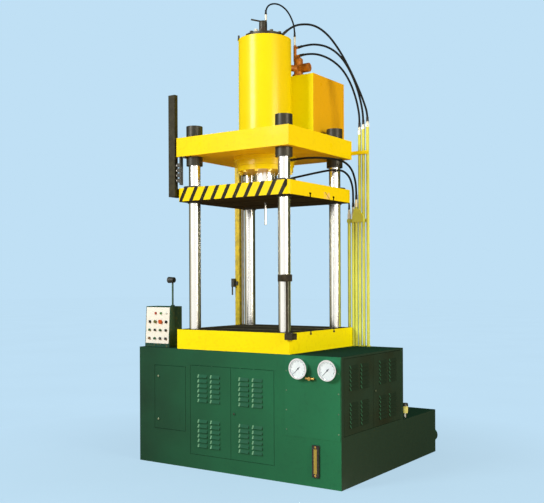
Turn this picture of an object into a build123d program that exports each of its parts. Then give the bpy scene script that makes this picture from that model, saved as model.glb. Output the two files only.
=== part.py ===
from build123d import *
import os
from math import atan2, cos, degrees, hypot, pi, radians, sin, tan

# Four-column hydraulic press, in millimetres.
# The origin is on the floor under the ram axis. +X is the machine's right, -Y its front, +Z up.

# Fits
contact_gap = 0.3            # round pieces seated beside each other without moving
running_gap = 0.05           # radial clearance of a shaft in its bush
flat_gap = 0.3               # beside a flat face that slides or swings past
bite = 1                     # how far a fused piece or a cutter runs past the face that it meets

# Main sizes that the rest follows
plate_width = 1140           # bolster, slide and crown share one plan
plate_depth = 1020
cabinet_height = 1000
bolster_height = 165
daylight = 1089              # from the bolster to the raised slide
slide_height = 113
slide_to_crown = 269
crown_height = 160
tank_height = 366            # low oil tank under the cabinet's right part

half_width = plate_width / 2
half_depth = plate_depth / 2
bolster_top = cabinet_height + bolster_height
slide_bottom = bolster_top + daylight
slide_top = slide_bottom + slide_height
crown_bottom = slide_top + slide_to_crown
crown_top = crown_bottom + crown_height

# Cabinet: a sheet base that also houses the pump and the electrics
cabinet_left = half_width + 435          # from the ram axis to the left wall
cabinet_right = half_width + 460
cabinet_front = half_depth
cabinet_back = half_depth + 52
wall_sheet = 5
floor_plate = 10
deck_plate = 12              # top plate that the bolster stands on
partition_sheet = 8

# Oil tank: it runs out behind the cabinet
tank_left = half_width - 127
tank_back = cabinet_back + 685
tank_sheet = 6
tank_lid = 20                # raised cover plate behind the cabinet
filter_inset = 75            # from the tank's right wall
filter_z = 137
filter_radius = 75
filter_depth = 80
filter_flange = 14
filter_step = 12             # from the flange's edge in to the housing

# Doors
door_gap = 3
door_sheet = 2.5
door_return = 20             # depth of the folded edges
hinge_inset = 5              # pivot axis in from the door's front edge, both ways
hinge_pin_radius = 3
hinge_pin_reach = 10         # how far the pin enters the door's corner block
hinge_block = 12             # side of that block
front_doors_right = tank_left - 18
front_doors_left = front_doors_right + 5
front_doors_split = -2
front_doors_bottom = 118
front_doors_top = cabinet_height - 132
side_doors_front = cabinet_front - 40
side_doors_split = 12
side_doors_back = cabinet_back - 42
side_doors_bottom = tank_height + 30
side_doors_top = cabinet_height - 15
electric_door_left = cabinet_left - 175
electric_door_right = front_doors_left + 50
electric_door_bottom = 300
electric_door_top = cabinet_height - 150
lock_radius = 14
lock_depth = 5
lock_inset = 34              # from the split between two doors
electric_lock_inset = 42
electric_lock_low = 80
electric_lock_high = 92      # from the door's top

# Louvres, pressed outwards and open below
louvre_height = 26
louvre_depth = 11
louvre_sheet = 1.5
louvres_per_group = 6
front_louvre_width = 98
front_louvre_pitch = 41
front_louvre_columns = (-80, 53)       # from the door's middle
front_louvre_upper = front_doors_top - 190    # height of the middle of each group
front_louvre_lower = front_doors_bottom + 183
side_louvre_width = 130
side_louvre_pitch = 33
side_louvre_columns = (-88, 88)
side_louvre_upper = side_doors_top - 154
side_louvre_lower = side_doors_bottom + 150

# Slots and rounded corners of the plates
slide_corner = 50
slot_spacing = 376           # between the two T-slots
slot_neck = 18
slot_head = 32
slot_head_height = 14
bolster_slot_lip = 14
slide_slot_lip = 20

# Columns and their round nuts
column_radius = 50
column_x = half_width - 112
column_y = half_depth - 106
column_end = 10              # thread past the lower nuts
column_inset = 5             # from the top nuts' upper face down to the column's end
nut_radius = 70
nut_height = 85              # under the cabinet's deck
crown_nut_height = 101
neck_nut_height = 75         # under the crown

# Guide bushes in the slide
bush_radius = 66
bush_flange_radius = 93
bush_flange = 15
bush_wiper = 14              # wiper ring under the slide
bush_wiper_radius = 60

# Main cylinder, ram and knock-out rod
cylinder_radius = 228
cylinder_bore = 160
cylinder_rise = 859          # over the crown
cylinder_flange_radius = 272
cylinder_flange = 28
cylinder_boss_radius = 250
cylinder_boss = 48
gland_radius = 241
gland_height = 44
gland_spigot = 60
head_radius = 170
head_height = 40
head_spigot = 30
bleed_turn = 214
bleed_reach = 226
bleed_block = 18             # width and height of the bleed block
bleed_radius = 8
bleed_height = 46
head_boss_radius = 16
head_boss_x = 144
head_boss_y = 50
head_boss_height = 4
ram_radius = 100
ram_flange_radius = 150
ram_flange = 30
piston_height = 100
piston_gap = 25              # from the raised piston to the head's spigot
bolt_flats = 30
bolt_head = 16
hex_sides = 6
gland_bolt_circle = 224
gland_bolts = 12
gland_bolt_turn = 0.26
head_bolt_circle = 148
head_bolts = 10
head_bolt_turn = 0.05
knockout_radius = 10
knockout_head_radius = 26
knockout_head = 30
knockout_reach = 194         # below the raised slide
knockout_travel = 170
knockout_chamfer = 2

# Prefill valve on the cylinder head
prefill_radius = 35
prefill_flange = 20          # how far its foot stands out
prefill_foot = 22
prefill_height = 132
prefill_shoulder = 14
prefill_x = -12
prefill_y = -8
prefill_lever_radius = 7
prefill_lever_reach = 105    # from the valve's axis to the lever's tip
prefill_lever_back = 20      # behind the axis
prefill_lever_turn = 30      # towards the machine's front
prefill_lever_low = 12       # its root below the valve's top
prefill_lever_high = 16      # its tip above the valve's top
prefill_pilot_radius = 16    # small pilot valve beside it
prefill_pilot_height = 62
prefill_pilot_x = -66
prefill_pilot_y = -38
prefill_port_radius = 9
prefill_port_rise = 5
prefill_port_x = 8
prefill_port_y = 5

# Upper oil tank and its valve
upper_tank_width = 690
upper_tank_gap = 7           # between the cylinder and the tank
upper_tank_depth = 543
upper_tank_front = cylinder_radius + upper_tank_gap
upper_tank_back = upper_tank_front + upper_tank_depth
upper_tank_height = 582
bracket_height = 130
bracket_sheet = 12
bracket_spread = 260
bracket_inset = 20
valve_x = 160
valve_y = 290
valve_radius = 40
valve_foot_radius = 54
valve_foot = 16
valve_shoulder = 20
valve_height = 172
valve_barrel_radius = 39
valve_barrel_reach = 112
valve_barrel_rise = 70
valve_outlet_radius = 28
valve_outlet_share = 0.6     # how near to the axis the outlet to the cylinder comes
valve_head_x = 125
valve_neck_radius = 14
valve_neck_lap = 30          # how far the neck starts below the valve's top
valve_neck_height = 282      # top of the narrow neck above the tank
riser_x = 122
riser_height = 77

# Oil pipes behind the press; heights are measured from the crown's underside
pipe_radius = 14
pipe_y = half_depth + 17
pipe_places = (-36, 4, 36, 70, 107, 148)         # from the plates' right side
pipe_tops = (-518, -517, -416, 216, 259, 275)
fitting_heights = (82, 101, 65, 64, 41, 47)
fitting_radius = 17
fitting_share = 0.55         # of its height that the wide part takes up
foot_side = 31
foot_height = 8
arm_height = 31
arm_middle = crown_bottom + 54
arm_reach = 165
arm_depth = 16
clamp_bottom = slide_bottom - 169
clamp_height = 30
clamp_depth = 18
clamp_front = 15.5           # the slide passes in front of it
clamp_pipes = 5              # how many of the pipes it holds
guard_sheet = 10             # guard over the hose ends, fixed to the clamp's front
guard_left = half_width + 9
guard_right = half_width + 118
guard_shoulder = 45          # over the clamp's underside
guard_top_left = half_width + 22
guard_top_right = half_width + 74
guard_height = 120

# Hoses
hose_radius = 9
thin_hose_radius = 7
port_radius = 11
port_wall = 2                # of the thin hoses' tails
bend_share = 0.45            # of the shorter run that a bend takes up
tail_radius = thin_hose_radius + port_wall
head_port = 24               # lengths of the tails that the hoses end on
cylinder_port = 45
valve_port = 30
valve_lower_port = 44
feed_port = 34
return_port = 30
feed_port_x = 128
feed_port_y = 34
feed_port_height = 45
return_port_y = 136
return_port_height = 24

# Striker bar and limit switches on the left
bar_inner = half_width + 10
bar_outer = half_width + 80
bar_front = half_depth + 11
bar_back = half_depth - 29
bar_web = 8
bar_top = crown_top + 372
bar_foot_height = 69
switch_rises = (67, 112, 154, 197)     # over the raised slide
switch_body = 30
switch_height = 32
switch_plate = 12
switch_plate_width = 36
switch_plate_bottom = slide_top + 28
switch_arm = 50
switch_pin = 6
roller_radius = 7
roller_width = 12
roller_gap = 4
post_x = half_width + 30
post_y = half_depth - 94
post_width = 50
post_depth = 40
post_sheet = 4
post_bottom = cabinet_height + 30
post_top = crown_bottom + 134
post_pad_height = 60
post_pad_rise = 20
post_switch_top = bolster_top + 434
post_switch_height = 80
post_switch_width = 30
post_switch_depth = 34
post_switch_reach = 22       # how far it stands out to the left of the post
post_switch_arm = 26         # width of the arm that carries it
post_switch_arm_low = 62     # both below its top
post_switch_arm_high = 26
post_switch_lever = 10
post_switch_lever_length = 75
post_switch_lever_inset = 5
conduit_radius = 10
conduit_x = half_width + 30
conduit_y = half_depth - 20

# Stop rod and its clamp on the front right column
collar_radius = 54
collar_bottom = bolster_top + 404
collar_height = 54
collar_arm = 82
collar_arm_lap = 14          # past the rod's axis
stop_rod_seat = 10           # how far the rod enters its foot
stop_rod_radius = 9
stop_rod_rise = 4            # over the collar
stop_rod_x = half_width - 10
stop_rod_y = half_depth + 17
stop_foot = 50
stop_foot_side = 70
stop_foot_x = half_width + 10
stop_foot_y = half_depth - 5

# Operating console
console_left = cabinet_left - 20
console_front = cabinet_front - 48
console_width = 282
console_height = 355
console_depth = 170
console_lean = 20
console_top_depth = 150
console_sheet = 3
panel_margin = 8
panel_foot = 32              # from the cabinet's deck up to the panel
panel_sheet = 3
control_columns = (54, 117, 179, 243)  # from the console's left side
control_rows = (75, 148, 221, 295)     # up the leaning front
button_radius = 11
button_height = 9
button_travel = 4
start_button_radius = 14
mushroom_radius = 18
mushroom_height = 14
key_radius = 9
stem_side = 10
stem_length = 12
hole_depth = 20              # through the panel and the console's front
lamp_height = 8
selector_radius = 12
selector_base = 8
selector_grip = 7
selector_rise = 10
cable_entry = 30             # side of the cable entry behind the console
cable_entry_depth = 14
work_lamp_x = console_left - 201
work_lamp_y = console_front - 142
work_lamp_radius = 8
work_lamp_rise = 214         # over the console
work_lamp_foot_radius = 18
work_lamp_foot = 10
lamp_head_radius = 28
lamp_head_mouth = 24
lamp_head_length = 62
lamp_head_drop = 10
lamp_head_offset = 18

# Gauges
gauge_left_x = cabinet_right - 357
gauge_right_x = cabinet_right - 98
gauge_z = cabinet_height - 101
gauge_radius = 80
gauge_rim = 10               # from the bezel's edge in to the dial
gauge_depth = 45
gauge_dial_depth = 12
gauge_glass = 3
gauge_glass_depth = 2
gauge_panel_left = tank_left + 84
gauge_panel_right = cabinet_right - 5
gauge_panel_bottom = tank_height + 4
gauge_panel_top = cabinet_height - 15
gauge_panel_sheet = 3
gauge_panel_lap = 18
gauge_stem_radius = 9
gauge_stem_length = 30
needle_tip = 56
needle_tail = 18
needle_half = 2.5
needle_hub = 6
needle_sheet = 3
needle_rest = 135            # from straight up to the scale's zero
needle_point = 1             # half width of its tip
cock_radius = 14
cock_length = 30
cock_handle_radius = 9
cock_handle_left = 36
cock_handle_right = 40
cock_handle_depth = 18
cock_drop = 72               # below the gauges' middle
level_x = cabinet_right - 220
level_bottom = 75
level_top = tank_height - 46
level_width = 60
level_depth = 14
level_glass_depth = 8

# Breather on the tank's lid
breather_x = cabinet_right - 40
breather_y = cabinet_back + 115
breather_neck_radius = 16
breather_neck = 40
breather_radius = 28
breather_body = 60
breather_cap_radius = 31
breather_cap = 24
breather_cap_taper = 4

# Pump set inside the cabinet
motor_x = tank_left + 317
motor_y = 60
motor_radius = 135
motor_length = 420
motor_lift = 30
motor_foot = 60
motor_foot_inset = 40
terminal_box = 110
pump_radius = 70
pump_length = 190

# Heights and faces that follow from the sizes above
cylinder_top = crown_top + cylinder_rise
head_top = cylinder_top + head_height
gland_bottom = crown_bottom - cylinder_flange - cylinder_boss - gland_height
gland_top = gland_bottom + gland_height
deck_bottom = cabinet_height - deck_plate
column_bottom = cabinet_height - nut_height - column_end
column_top = crown_top + crown_nut_height - column_inset
cylinder_shoulder = crown_bottom - cylinder_flange
knockout_tip = slide_bottom - knockout_reach
knockout_down = slide_top + flat_gap
slot_places = (-slot_spacing / 2, slot_spacing / 2)
column_places = [(x, y) for x in (-column_x, column_x) for y in (-column_y, column_y)]

# Hose routes, chosen by hand along the real ones; each starts on its port and ends on a fitting.
# Their heights are measured from the crown's underside.

head_hose = [
    (158, 61, 1072),
    (200, 95, 1121),
    (262, 150, 1156),
    (360, 232, 1154),
    (450, 308, 1076),
    (530, 372, 939),
    (600, 430, 774),
    (660, 480, 604),
    (702, 514, 464),
    (718, 527, 384),
    (718, 527, 322),
]
valve_hose = [
    (151, 296, 1005),
    (210, 318, 1019),
    (300, 358, 1026),
    (405, 408, 994),
    (500, 450, 909),
    (575, 482, 774),
    (630, 506, 624),
    (662, 520, 484),
    (677, 527, 374),
    (677, 527, 300),
]
valve_lower_hose = [
    (169, 298, 931),
    (225, 316, 941),
    (320, 362, 936),
    (420, 414, 886),
    (508, 458, 799),
    (572, 492, 674),
    (614, 514, 534),
    (636, 525, 414),
    (640, 527, 339),
    (640, 527, 280),
]
pilot_hose = [
    (8, 5, 1246),
    (8, 5, 1296),
    (24, 48, 1348),
    (55, 130, 1366),
    (86, 215, 1332),
    (110, 268, 1254),
    (122, 290, 1172),
    (122, 290, 1101),
]
cylinder_hose = [
    (284, -40, -44),
    (340, -25, -38),
    (430, 15, -29),
    (515, 95, -27),
    (572, 210, -28),
    (600, 330, -40),
    (612, 435, -91),
    (608, 508, -186),
    (606, 527, -286),
    (606, 527, -351),
]
feed_hose = [
    (160, 52, -196),
    (210, 80, -181),
    (300, 145, -156),
    (395, 225, -128),
    (490, 292, -106),
    (552, 370, -104),
    (574, 455, -146),
    (576, 518, -236),
    (574, 527, -336),
    (574, 527, -416),
]
return_hose = [
    (20, 158, -225),
    (60, 205, -234),
    (135, 285, -242),
    (230, 385, -244),
    (320, 490, -242),
    (410, 555, -244),
    (490, 566, -280),
    (534, 527, -351),
    (534, 527, -436),
]

os.makedirs("parts", exist_ok=True)


def save(name, *pieces):
    """Write one named piece, or a group of like pieces, as a STEP file."""
    solids = [solid for piece in pieces for solid in piece.solids()]
    shape = solids[0] if len(solids) == 1 else Compound(solids)
    export_step(shape, f"parts/{name}.step")


def block(low, high):
    """Box between two opposite corners."""
    size = [far - near for near, far in zip(low, high)]
    return Pos(*low) * Box(*size, align=(Align.MIN, Align.MIN, Align.MIN))


def bar(radius, bottom, top, x=0, y=0):
    """Upright round bar between two heights."""
    return Pos(x, y, bottom) * Cylinder(radius, top - bottom, align=(Align.CENTER, Align.CENTER, Align.MIN))


def rod(radius, start, end):
    """Round bar from one point to another."""
    start = Vector(*start)
    way = Vector(*end) - start
    return extrude(Plane(origin=start, z_dir=way) * Circle(radius), amount=way.length)


def lifted(route):
    """Points of a hose's route, with their heights counted from the floor."""
    return [Vector(x, y, crown_bottom + rise) for x, y, rise in route]


def port(route, radius, length):
    """Hose tail that ends face to face with the first point of a hose's route."""
    start, following = lifted(route)[:2]
    way = (following - start).normalized()
    return rod(radius, start - way * length, start)


def turned(outline, x=0, y=0):
    """Solid of revolution about an upright axis, from (radius, height) points."""
    half = make_face(Plane.XZ * Polyline(*outline, close=True))
    return Pos(x, y, 0) * revolve(half, Axis.Z)


def along_x(outline, near, far):
    """Prism between two places across the machine, from (y, z) points."""
    section = Plane(origin=(near, 0, 0), x_dir=(0, 1, 0), z_dir=(1, 0, 0))
    return extrude(section * make_face(Polyline(*outline, close=True)), amount=far - near)


def along_y(outline, near, far):
    """Prism between two depths, from (x, z) points."""
    section = Plane(origin=(0, near, 0), x_dir=(1, 0, 0), z_dir=(0, -1, 0))
    return extrude(section * make_face(Polyline(*outline, close=True)), amount=near - far)


def along_z(outline, near, far):
    """Prism between two heights, from (x, y) points."""
    return extrude(Pos(0, 0, near) * make_face(Polyline(*outline, close=True)), amount=far - near)


def ring_places(count, circle, turn=0):
    """Evenly spaced (x, y) places on a circle."""
    angles = [turn + 2 * pi * place / count for place in range(count)]
    return [(circle * cos(angle), circle * sin(angle)) for angle in angles]


def hex_head(x, y, bottom):
    """Head of a hexagon bolt, standing on a level face."""
    outline = RegularPolygon(bolt_flats / 2, hex_sides, major_radius=False)
    return Pos(x, y, bottom) * extrude(outline, amount=bolt_head)


# Doors

def louvre_solid(width):
    """Outside of one louvre: a wedge that is deepest at its lower lip."""
    half = louvre_height / 2
    return along_x([(0, half), (-louvre_depth, -half), (0, -half)], -width / 2, width / 2)


def louvre_hollow(width):
    """Inside of one louvre, which also opens the door's sheet behind it."""
    half = louvre_height / 2
    slope = louvre_sheet * hypot(louvre_height, louvre_depth) / louvre_depth
    outline = [
        (0, half - slope),
        (-louvre_depth * (1 - slope / louvre_height), -half),
        (door_sheet, -half),
        (door_sheet, half - slope),
    ]
    return along_x(outline, louvre_sheet - width / 2, width / 2 - louvre_sheet)


def door(width, height, hinge_right, lock, columns=(), rows=(), louvre_width=0, pitch=0):
    """Folded sheet door with its lower left corner at the origin, looking to -Y.

    lock lists the (x, z) places of its locks. columns and rows are the middles of the louvre groups.
    """
    leaf = block((0, 0, 0), (width, door_return, height))
    leaf -= block(
        (door_sheet, door_sheet, door_sheet),
        (width - door_sheet, door_return + 1, height - door_sheet),
    )
    side = width - hinge_block if hinge_right else 0
    pin_x = width - hinge_inset if hinge_right else hinge_inset
    for low in (0, height - hinge_block):
        leaf += block((side, 0, low), (side + hinge_block, hinge_block, low + hinge_block))
    for low in (-1, height - hinge_pin_reach):
        leaf -= bar(hinge_pin_radius + running_gap, low, low + hinge_pin_reach + 1, pin_x, hinge_inset)
    steps = [pitch * (place - (louvres_per_group - 1) / 2) for place in range(louvres_per_group)]
    places = [Pos(x, 0, z + step) for x in columns for z in rows for step in steps]
    if places:
        leaf += [place * louvre_solid(louvre_width) for place in places]
        leaf -= [place * louvre_hollow(louvre_width) for place in places]
    for x, z in lock:
        leaf += rod(lock_radius, (x, 0, z), (x, -lock_depth, z))
    return leaf


def front_door(left, right, hinge_right, locks):
    """Louvred door in the cabinet's front, placed between two edges of its opening."""
    start = left + door_gap
    width = right - door_gap - start
    low = front_doors_bottom + door_gap
    height = front_doors_top - door_gap - low
    return Pos(start, -cabinet_front, low) * door(
        width,
        height,
        hinge_right,
        [(x - start, z - low) for x, z in locks],
        [width / 2 + place for place in front_louvre_columns],
        [front_louvre_upper - low, front_louvre_lower - low],
        front_louvre_width,
        front_louvre_pitch,
    )


def side_door(front, back, hinge_right, locks):
    """Louvred door in the cabinet's right wall, placed between two depths."""
    start = front + door_gap
    width = back - door_gap - start
    low = side_doors_bottom + door_gap
    height = side_doors_top - door_gap - low
    return Pos(cabinet_right, start, low) * Rot(0, 0, 90) * door(
        width,
        height,
        hinge_right,
        [(y - start, z - low) for y, z in locks],
        [width / 2 + place for place in side_louvre_columns],
        [side_louvre_upper - low, side_louvre_lower - low],
        side_louvre_width,
        side_louvre_pitch,
    )


half_gap = door_gap / 2
front_doors_middle = (front_doors_bottom + front_doors_top) / 2
side_doors_middle = (side_doors_bottom + side_doors_top) / 2
save("front_door_left", front_door(-front_doors_left, front_doors_split + half_gap, False, []))
save(
    "front_door_right",
    front_door(
        front_doors_split - half_gap,
        front_doors_right,
        True,
        [(front_doors_split + lock_inset, front_doors_middle)],
    ),
)
save("side_door_front", side_door(-side_doors_front, side_doors_split + half_gap, False, []))
save(
    "side_door_rear",
    side_door(
        side_doors_split - half_gap,
        side_doors_back,
        True,
        [(side_doors_split + lock_inset, side_doors_middle)],
    ),
)
electric_low = electric_door_bottom + door_gap
electric_high = electric_door_top - door_gap
electric_width = electric_door_left - electric_door_right - 2 * door_gap
save(
    "electric_door",
    Pos(-electric_door_left + door_gap, -cabinet_front, electric_low) * door(
        electric_width,
        electric_high - electric_low,
        True,
        [
            (electric_lock_inset, electric_lock_low),
            (electric_lock_inset, electric_high - electric_low - electric_lock_high),
        ],
    ),
)


# Cabinet shell

def pivot_pair(x, y, bottom, top, mirrored, turn):
    """Lugs and pins that carry one door, at the corner of its opening that turn faces to the wall.

    mirrored puts them on the opening's far edge.
    """
    lug = block((-hinge_block, 0, -hinge_block), (hinge_block + hinge_inset, 2 * hinge_block, 0))
    pin = bar(hinge_pin_radius, -1, door_gap + hinge_pin_reach - 1, door_gap + hinge_inset, hinge_inset)
    lower = lug + pin
    if mirrored:
        lower = mirror(lower, Plane.YZ)
    upper = mirror(lower, Plane.XY)
    return [Pos(x, y, z) * Rot(0, 0, turn) * piece for z, piece in ((bottom, lower), (top, upper))]


shell = along_y(
    [
        (-cabinet_left, 0),
        (tank_left, 0),
        (tank_left, tank_height),
        (cabinet_right, tank_height),
        (cabinet_right, cabinet_height),
        (-cabinet_left, cabinet_height),
    ],
    -cabinet_front,
    cabinet_back,
)
shell -= along_y(
    [
        (wall_sheet - cabinet_left, floor_plate),
        (tank_left - wall_sheet, floor_plate),
        (tank_left - wall_sheet, tank_height + wall_sheet),
        (cabinet_right - wall_sheet, tank_height + wall_sheet),
        (cabinet_right - wall_sheet, deck_bottom),
        (wall_sheet - cabinet_left, deck_bottom),
    ],
    wall_sheet - cabinet_front,
    cabinet_back - wall_sheet,
)
half_partition = partition_sheet / 2
for middle, foot in ((-column_x, floor_plate), (column_x, tank_height + wall_sheet)):
    shell += block(
        (middle - half_partition, wall_sheet - cabinet_front, foot),
        (middle + half_partition, cabinet_back - wall_sheet, deck_bottom),
    )
shell -= block(
    (-front_doors_left, -cabinet_front - 1, front_doors_bottom),
    (front_doors_right, wall_sheet - cabinet_front, front_doors_top),
)
shell -= block(
    (-electric_door_left, -cabinet_front - 1, electric_door_bottom),
    (-electric_door_right, wall_sheet - cabinet_front, electric_door_top),
)
shell -= block(
    (gauge_panel_left + gauge_panel_lap, -cabinet_front - 1, gauge_panel_bottom + gauge_panel_lap),
    (gauge_panel_right - gauge_panel_lap, wall_sheet - cabinet_front, gauge_panel_top - gauge_panel_lap),
)
shell -= block(
    (cabinet_right - wall_sheet, -side_doors_front, side_doors_bottom),
    (cabinet_right + 1, side_doors_back, side_doors_top),
)
pivots = [
    (-front_doors_left, -cabinet_front, front_doors_bottom, front_doors_top, False, 0),
    (front_doors_right, -cabinet_front, front_doors_bottom, front_doors_top, True, 0),
    (-electric_door_right, -cabinet_front, electric_door_bottom, electric_door_top, True, 0),
    (cabinet_right, -side_doors_front, side_doors_bottom, side_doors_top, False, 90),
    (cabinet_right, side_doors_back, side_doors_bottom, side_doors_top, True, 90),
]
for place in pivots:
    shell += pivot_pair(*place)
shell -= [
    bar(nut_radius + column_end, column_bottom - column_end, cabinet_height + 1, x, y)
    for x, y in column_places
]
save("cabinet_shell", shell)


# Oil tank with its raised rear lid and the suction filter housing behind it

tank = block((tank_left, -cabinet_front, 0), (cabinet_right, tank_back, tank_height))
tank += block((tank_left, cabinet_back, tank_height), (cabinet_right, tank_back, tank_height + tank_lid))
tank -= block(
    (tank_left + tank_sheet, tank_sheet - cabinet_front, tank_sheet),
    (cabinet_right - tank_sheet, tank_back - tank_sheet, tank_height - tank_sheet),
)
tank -= bar(
    breather_neck_radius + contact_gap,
    tank_height - tank_sheet - 1,
    tank_height + tank_lid + 1,
    breather_x,
    breather_y,
)
filter_x = cabinet_right - filter_inset
for radius, reach in ((filter_radius, filter_flange), (filter_radius - filter_step, filter_depth)):
    tank += rod(radius, (filter_x, tank_back, filter_z), (filter_x, tank_back + reach, filter_z))
save("oil_tank", tank)

breather_base = tank_height + tank_lid
breather_outline = [
    (0, breather_base - tank_lid),
    (breather_neck_radius, breather_base - tank_lid),
    (breather_neck_radius, breather_base + breather_neck),
    (breather_radius, breather_base + breather_neck),
    (breather_radius, breather_base + breather_neck + breather_body),
    (breather_cap_radius, breather_base + breather_neck + breather_body),
    (breather_cap_radius - breather_cap_taper, breather_base + breather_neck + breather_body + breather_cap),
    (0, breather_base + breather_neck + breather_body + breather_cap),
]
save("breather", turned(breather_outline, breather_x, breather_y))


# Gauge panel, gauges and level gauge on the front

panel_face = -cabinet_front - gauge_panel_sheet
gauge_centres = (gauge_left_x, gauge_right_x)
gauge_panel = block(
    (gauge_panel_left, panel_face, gauge_panel_bottom),
    (gauge_panel_right, -cabinet_front, gauge_panel_top),
)
for x in gauge_centres:
    gauge_panel -= rod(
        gauge_stem_radius + contact_gap, (x, panel_face - 1, gauge_z), (x, -cabinet_front + 1, gauge_z)
    )
save("gauge_panel", gauge_panel)


def turned_to_front(outline, x, z):
    """Solid of revolution about an axis that runs to the front, from (radius, depth) points."""
    level = Plane(origin=(x, 0, z), x_dir=(1, 0, 0), z_dir=(0, 0, 1))
    half = make_face(level * Polyline(*outline, close=True))
    return revolve(half, Axis((x, 0, z), (0, 1, 0)))


gauge_face = panel_face - gauge_depth
dial_face = gauge_face + gauge_dial_depth
gauge_dial_radius = gauge_radius - gauge_rim
gauge_case = [
    (0, gauge_stem_length - cabinet_front),
    (gauge_stem_radius, gauge_stem_length - cabinet_front),
    (gauge_stem_radius, panel_face),
    (gauge_radius, panel_face),
    (gauge_radius, gauge_face),
    (gauge_dial_radius, gauge_face),
    (gauge_dial_radius, dial_face),
    (0, dial_face),
]
save("gauge_cases", *[turned_to_front(gauge_case, x, gauge_z) for x in gauge_centres])
glass_outer = gauge_face + gauge_glass_depth
save(
    "gauge_glasses",
    *[
        rod(
            gauge_dial_radius - contact_gap,
            (x, glass_outer, gauge_z),
            (x, glass_outer + gauge_glass, gauge_z),
        )
        for x in gauge_centres
    ],
)


def needle(x):
    """Gauge needle with its counterweight tail, lying over the dial and pointing down to the left."""
    back = dial_face - bite
    front = back - needle_sheet
    blade = along_y(
        [(-needle_half, -needle_tail), (needle_half, -needle_tail), (needle_point, needle_tip), (-needle_point, needle_tip)],
        front,
        back,
    )
    hub = rod(needle_hub, (0, front, 0), (0, dial_face - contact_gap, 0))
    return Pos(x, 0, gauge_z) * Rot(0, -needle_rest, 0) * (blade + hub)


save("gauge_needle_left", needle(gauge_left_x))
save("gauge_needle_right", needle(gauge_right_x))

level_face = -cabinet_front - level_depth
level_half = level_width / 2
level_gauge = block(
    (level_x - level_half, level_face, level_bottom), (level_x + level_half, -cabinet_front, level_top)
)
level_gauge -= block(
    (level_x - level_half / 3, level_face - 1, level_bottom + level_half),
    (level_x + level_half / 3, level_face + level_glass_depth, level_top - level_half),
)
save("level_gauge", level_gauge)


# Bolster, slide plate and crown

def tee_slot(y, surface, into, lip):
    """T-slot along the plate's width; into is +1 or -1, the way that it is cut."""
    neck = slot_neck / 2
    head = slot_head / 2
    floor = lip + slot_head_height
    outline = [
        (-neck, -1),
        (-neck, lip),
        (-head, lip),
        (-head, floor),
        (head, floor),
        (head, lip),
        (neck, lip),
        (neck, -1),
    ]
    placed = [(y + across, surface + into * deep) for across, deep in outline]
    return along_x(placed, -half_width - 1, half_width + 1)


def column_holes(radius, bottom, top):
    """Cutters for the four column holes of one plate."""
    return [bar(radius, bottom - 1, top + 1, x, y) for x, y in column_places]


bolster = block((-half_width, -half_depth, cabinet_height), (half_width, half_depth, bolster_top))
bolster -= [tee_slot(y, bolster_top, -1, bolster_slot_lip) for y in slot_places]
bolster -= column_holes(column_radius + contact_gap, cabinet_height, bolster_top)
save("bolster", bolster)

slide_plan = RectangleRounded(plate_width, plate_depth, slide_corner)
slide = extrude(Pos(0, 0, slide_bottom) * slide_plan, amount=slide_height)
slide -= [tee_slot(y, slide_bottom, 1, slide_slot_lip) for y in slot_places]
slide -= column_holes(bush_radius + contact_gap, slide_bottom, slide_top)
slide -= bar(knockout_radius + running_gap, slide_bottom - 1, slide_top + 1)
save("slide_plate", slide)

crown = block((-half_width, -half_depth, crown_bottom), (half_width, half_depth, crown_top))
crown -= column_holes(column_radius + contact_gap, crown_bottom, crown_top)
crown -= bar(cylinder_radius + contact_gap, crown_bottom - 1, crown_top + 1)
arm_back = pipe_y - pipe_radius - flat_gap
crown += block(
    (half_width - 1, arm_back - arm_depth, arm_middle - arm_height / 2),
    (half_width + arm_reach, arm_back, arm_middle + arm_height / 2),
)
save("crown", crown)


# Columns and round nuts

save("columns", *[bar(column_radius, column_bottom, column_top, x, y) for x, y in column_places])

nut_rows = (
    (cabinet_height - nut_height, nut_height),
    (crown_bottom - neck_nut_height, neck_nut_height),
    (crown_top, crown_nut_height),
)
nuts = []
for bottom, height in nut_rows:
    for x, y in column_places:
        nut = bar(nut_radius, bottom, bottom + height, x, y)
        nuts.append(nut - bar(column_radius + contact_gap, bottom - 1, bottom + height + 1, x, y))
save("column_nuts", *nuts)


# Guide bushes

bush_bore = column_radius + running_gap
bush_outline = [
    (bush_bore, slide_bottom - bush_wiper),
    (bush_wiper_radius, slide_bottom - bush_wiper),
    (bush_wiper_radius, slide_bottom),
    (bush_radius, slide_bottom),
    (bush_radius, slide_top),
    (bush_flange_radius, slide_top),
    (bush_flange_radius, slide_top + bush_flange),
    (bush_bore, slide_top + bush_flange),
]
save("guide_bushes", *[turned(bush_outline, x, y) for x, y in column_places])


# Main cylinder with its gland, head and bolts

cylinder_outline = [
    (cylinder_bore, gland_top),
    (cylinder_boss_radius, gland_top),
    (cylinder_boss_radius, cylinder_shoulder),
    (cylinder_flange_radius, cylinder_shoulder),
    (cylinder_flange_radius, crown_bottom),
    (cylinder_radius, crown_bottom),
    (cylinder_radius, cylinder_top),
    (cylinder_bore, cylinder_top),
]
save("main_cylinder", turned(cylinder_outline) + port(cylinder_hose, port_radius, cylinder_port))

gland_outline = [
    (ram_radius + running_gap, gland_bottom),
    (gland_radius, gland_bottom),
    (gland_radius, gland_top),
    (cylinder_bore - contact_gap, gland_top),
    (cylinder_bore - contact_gap, gland_top + gland_spigot),
    (ram_radius + running_gap, gland_top + gland_spigot),
]
save("gland_flange", turned(gland_outline))

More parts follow.
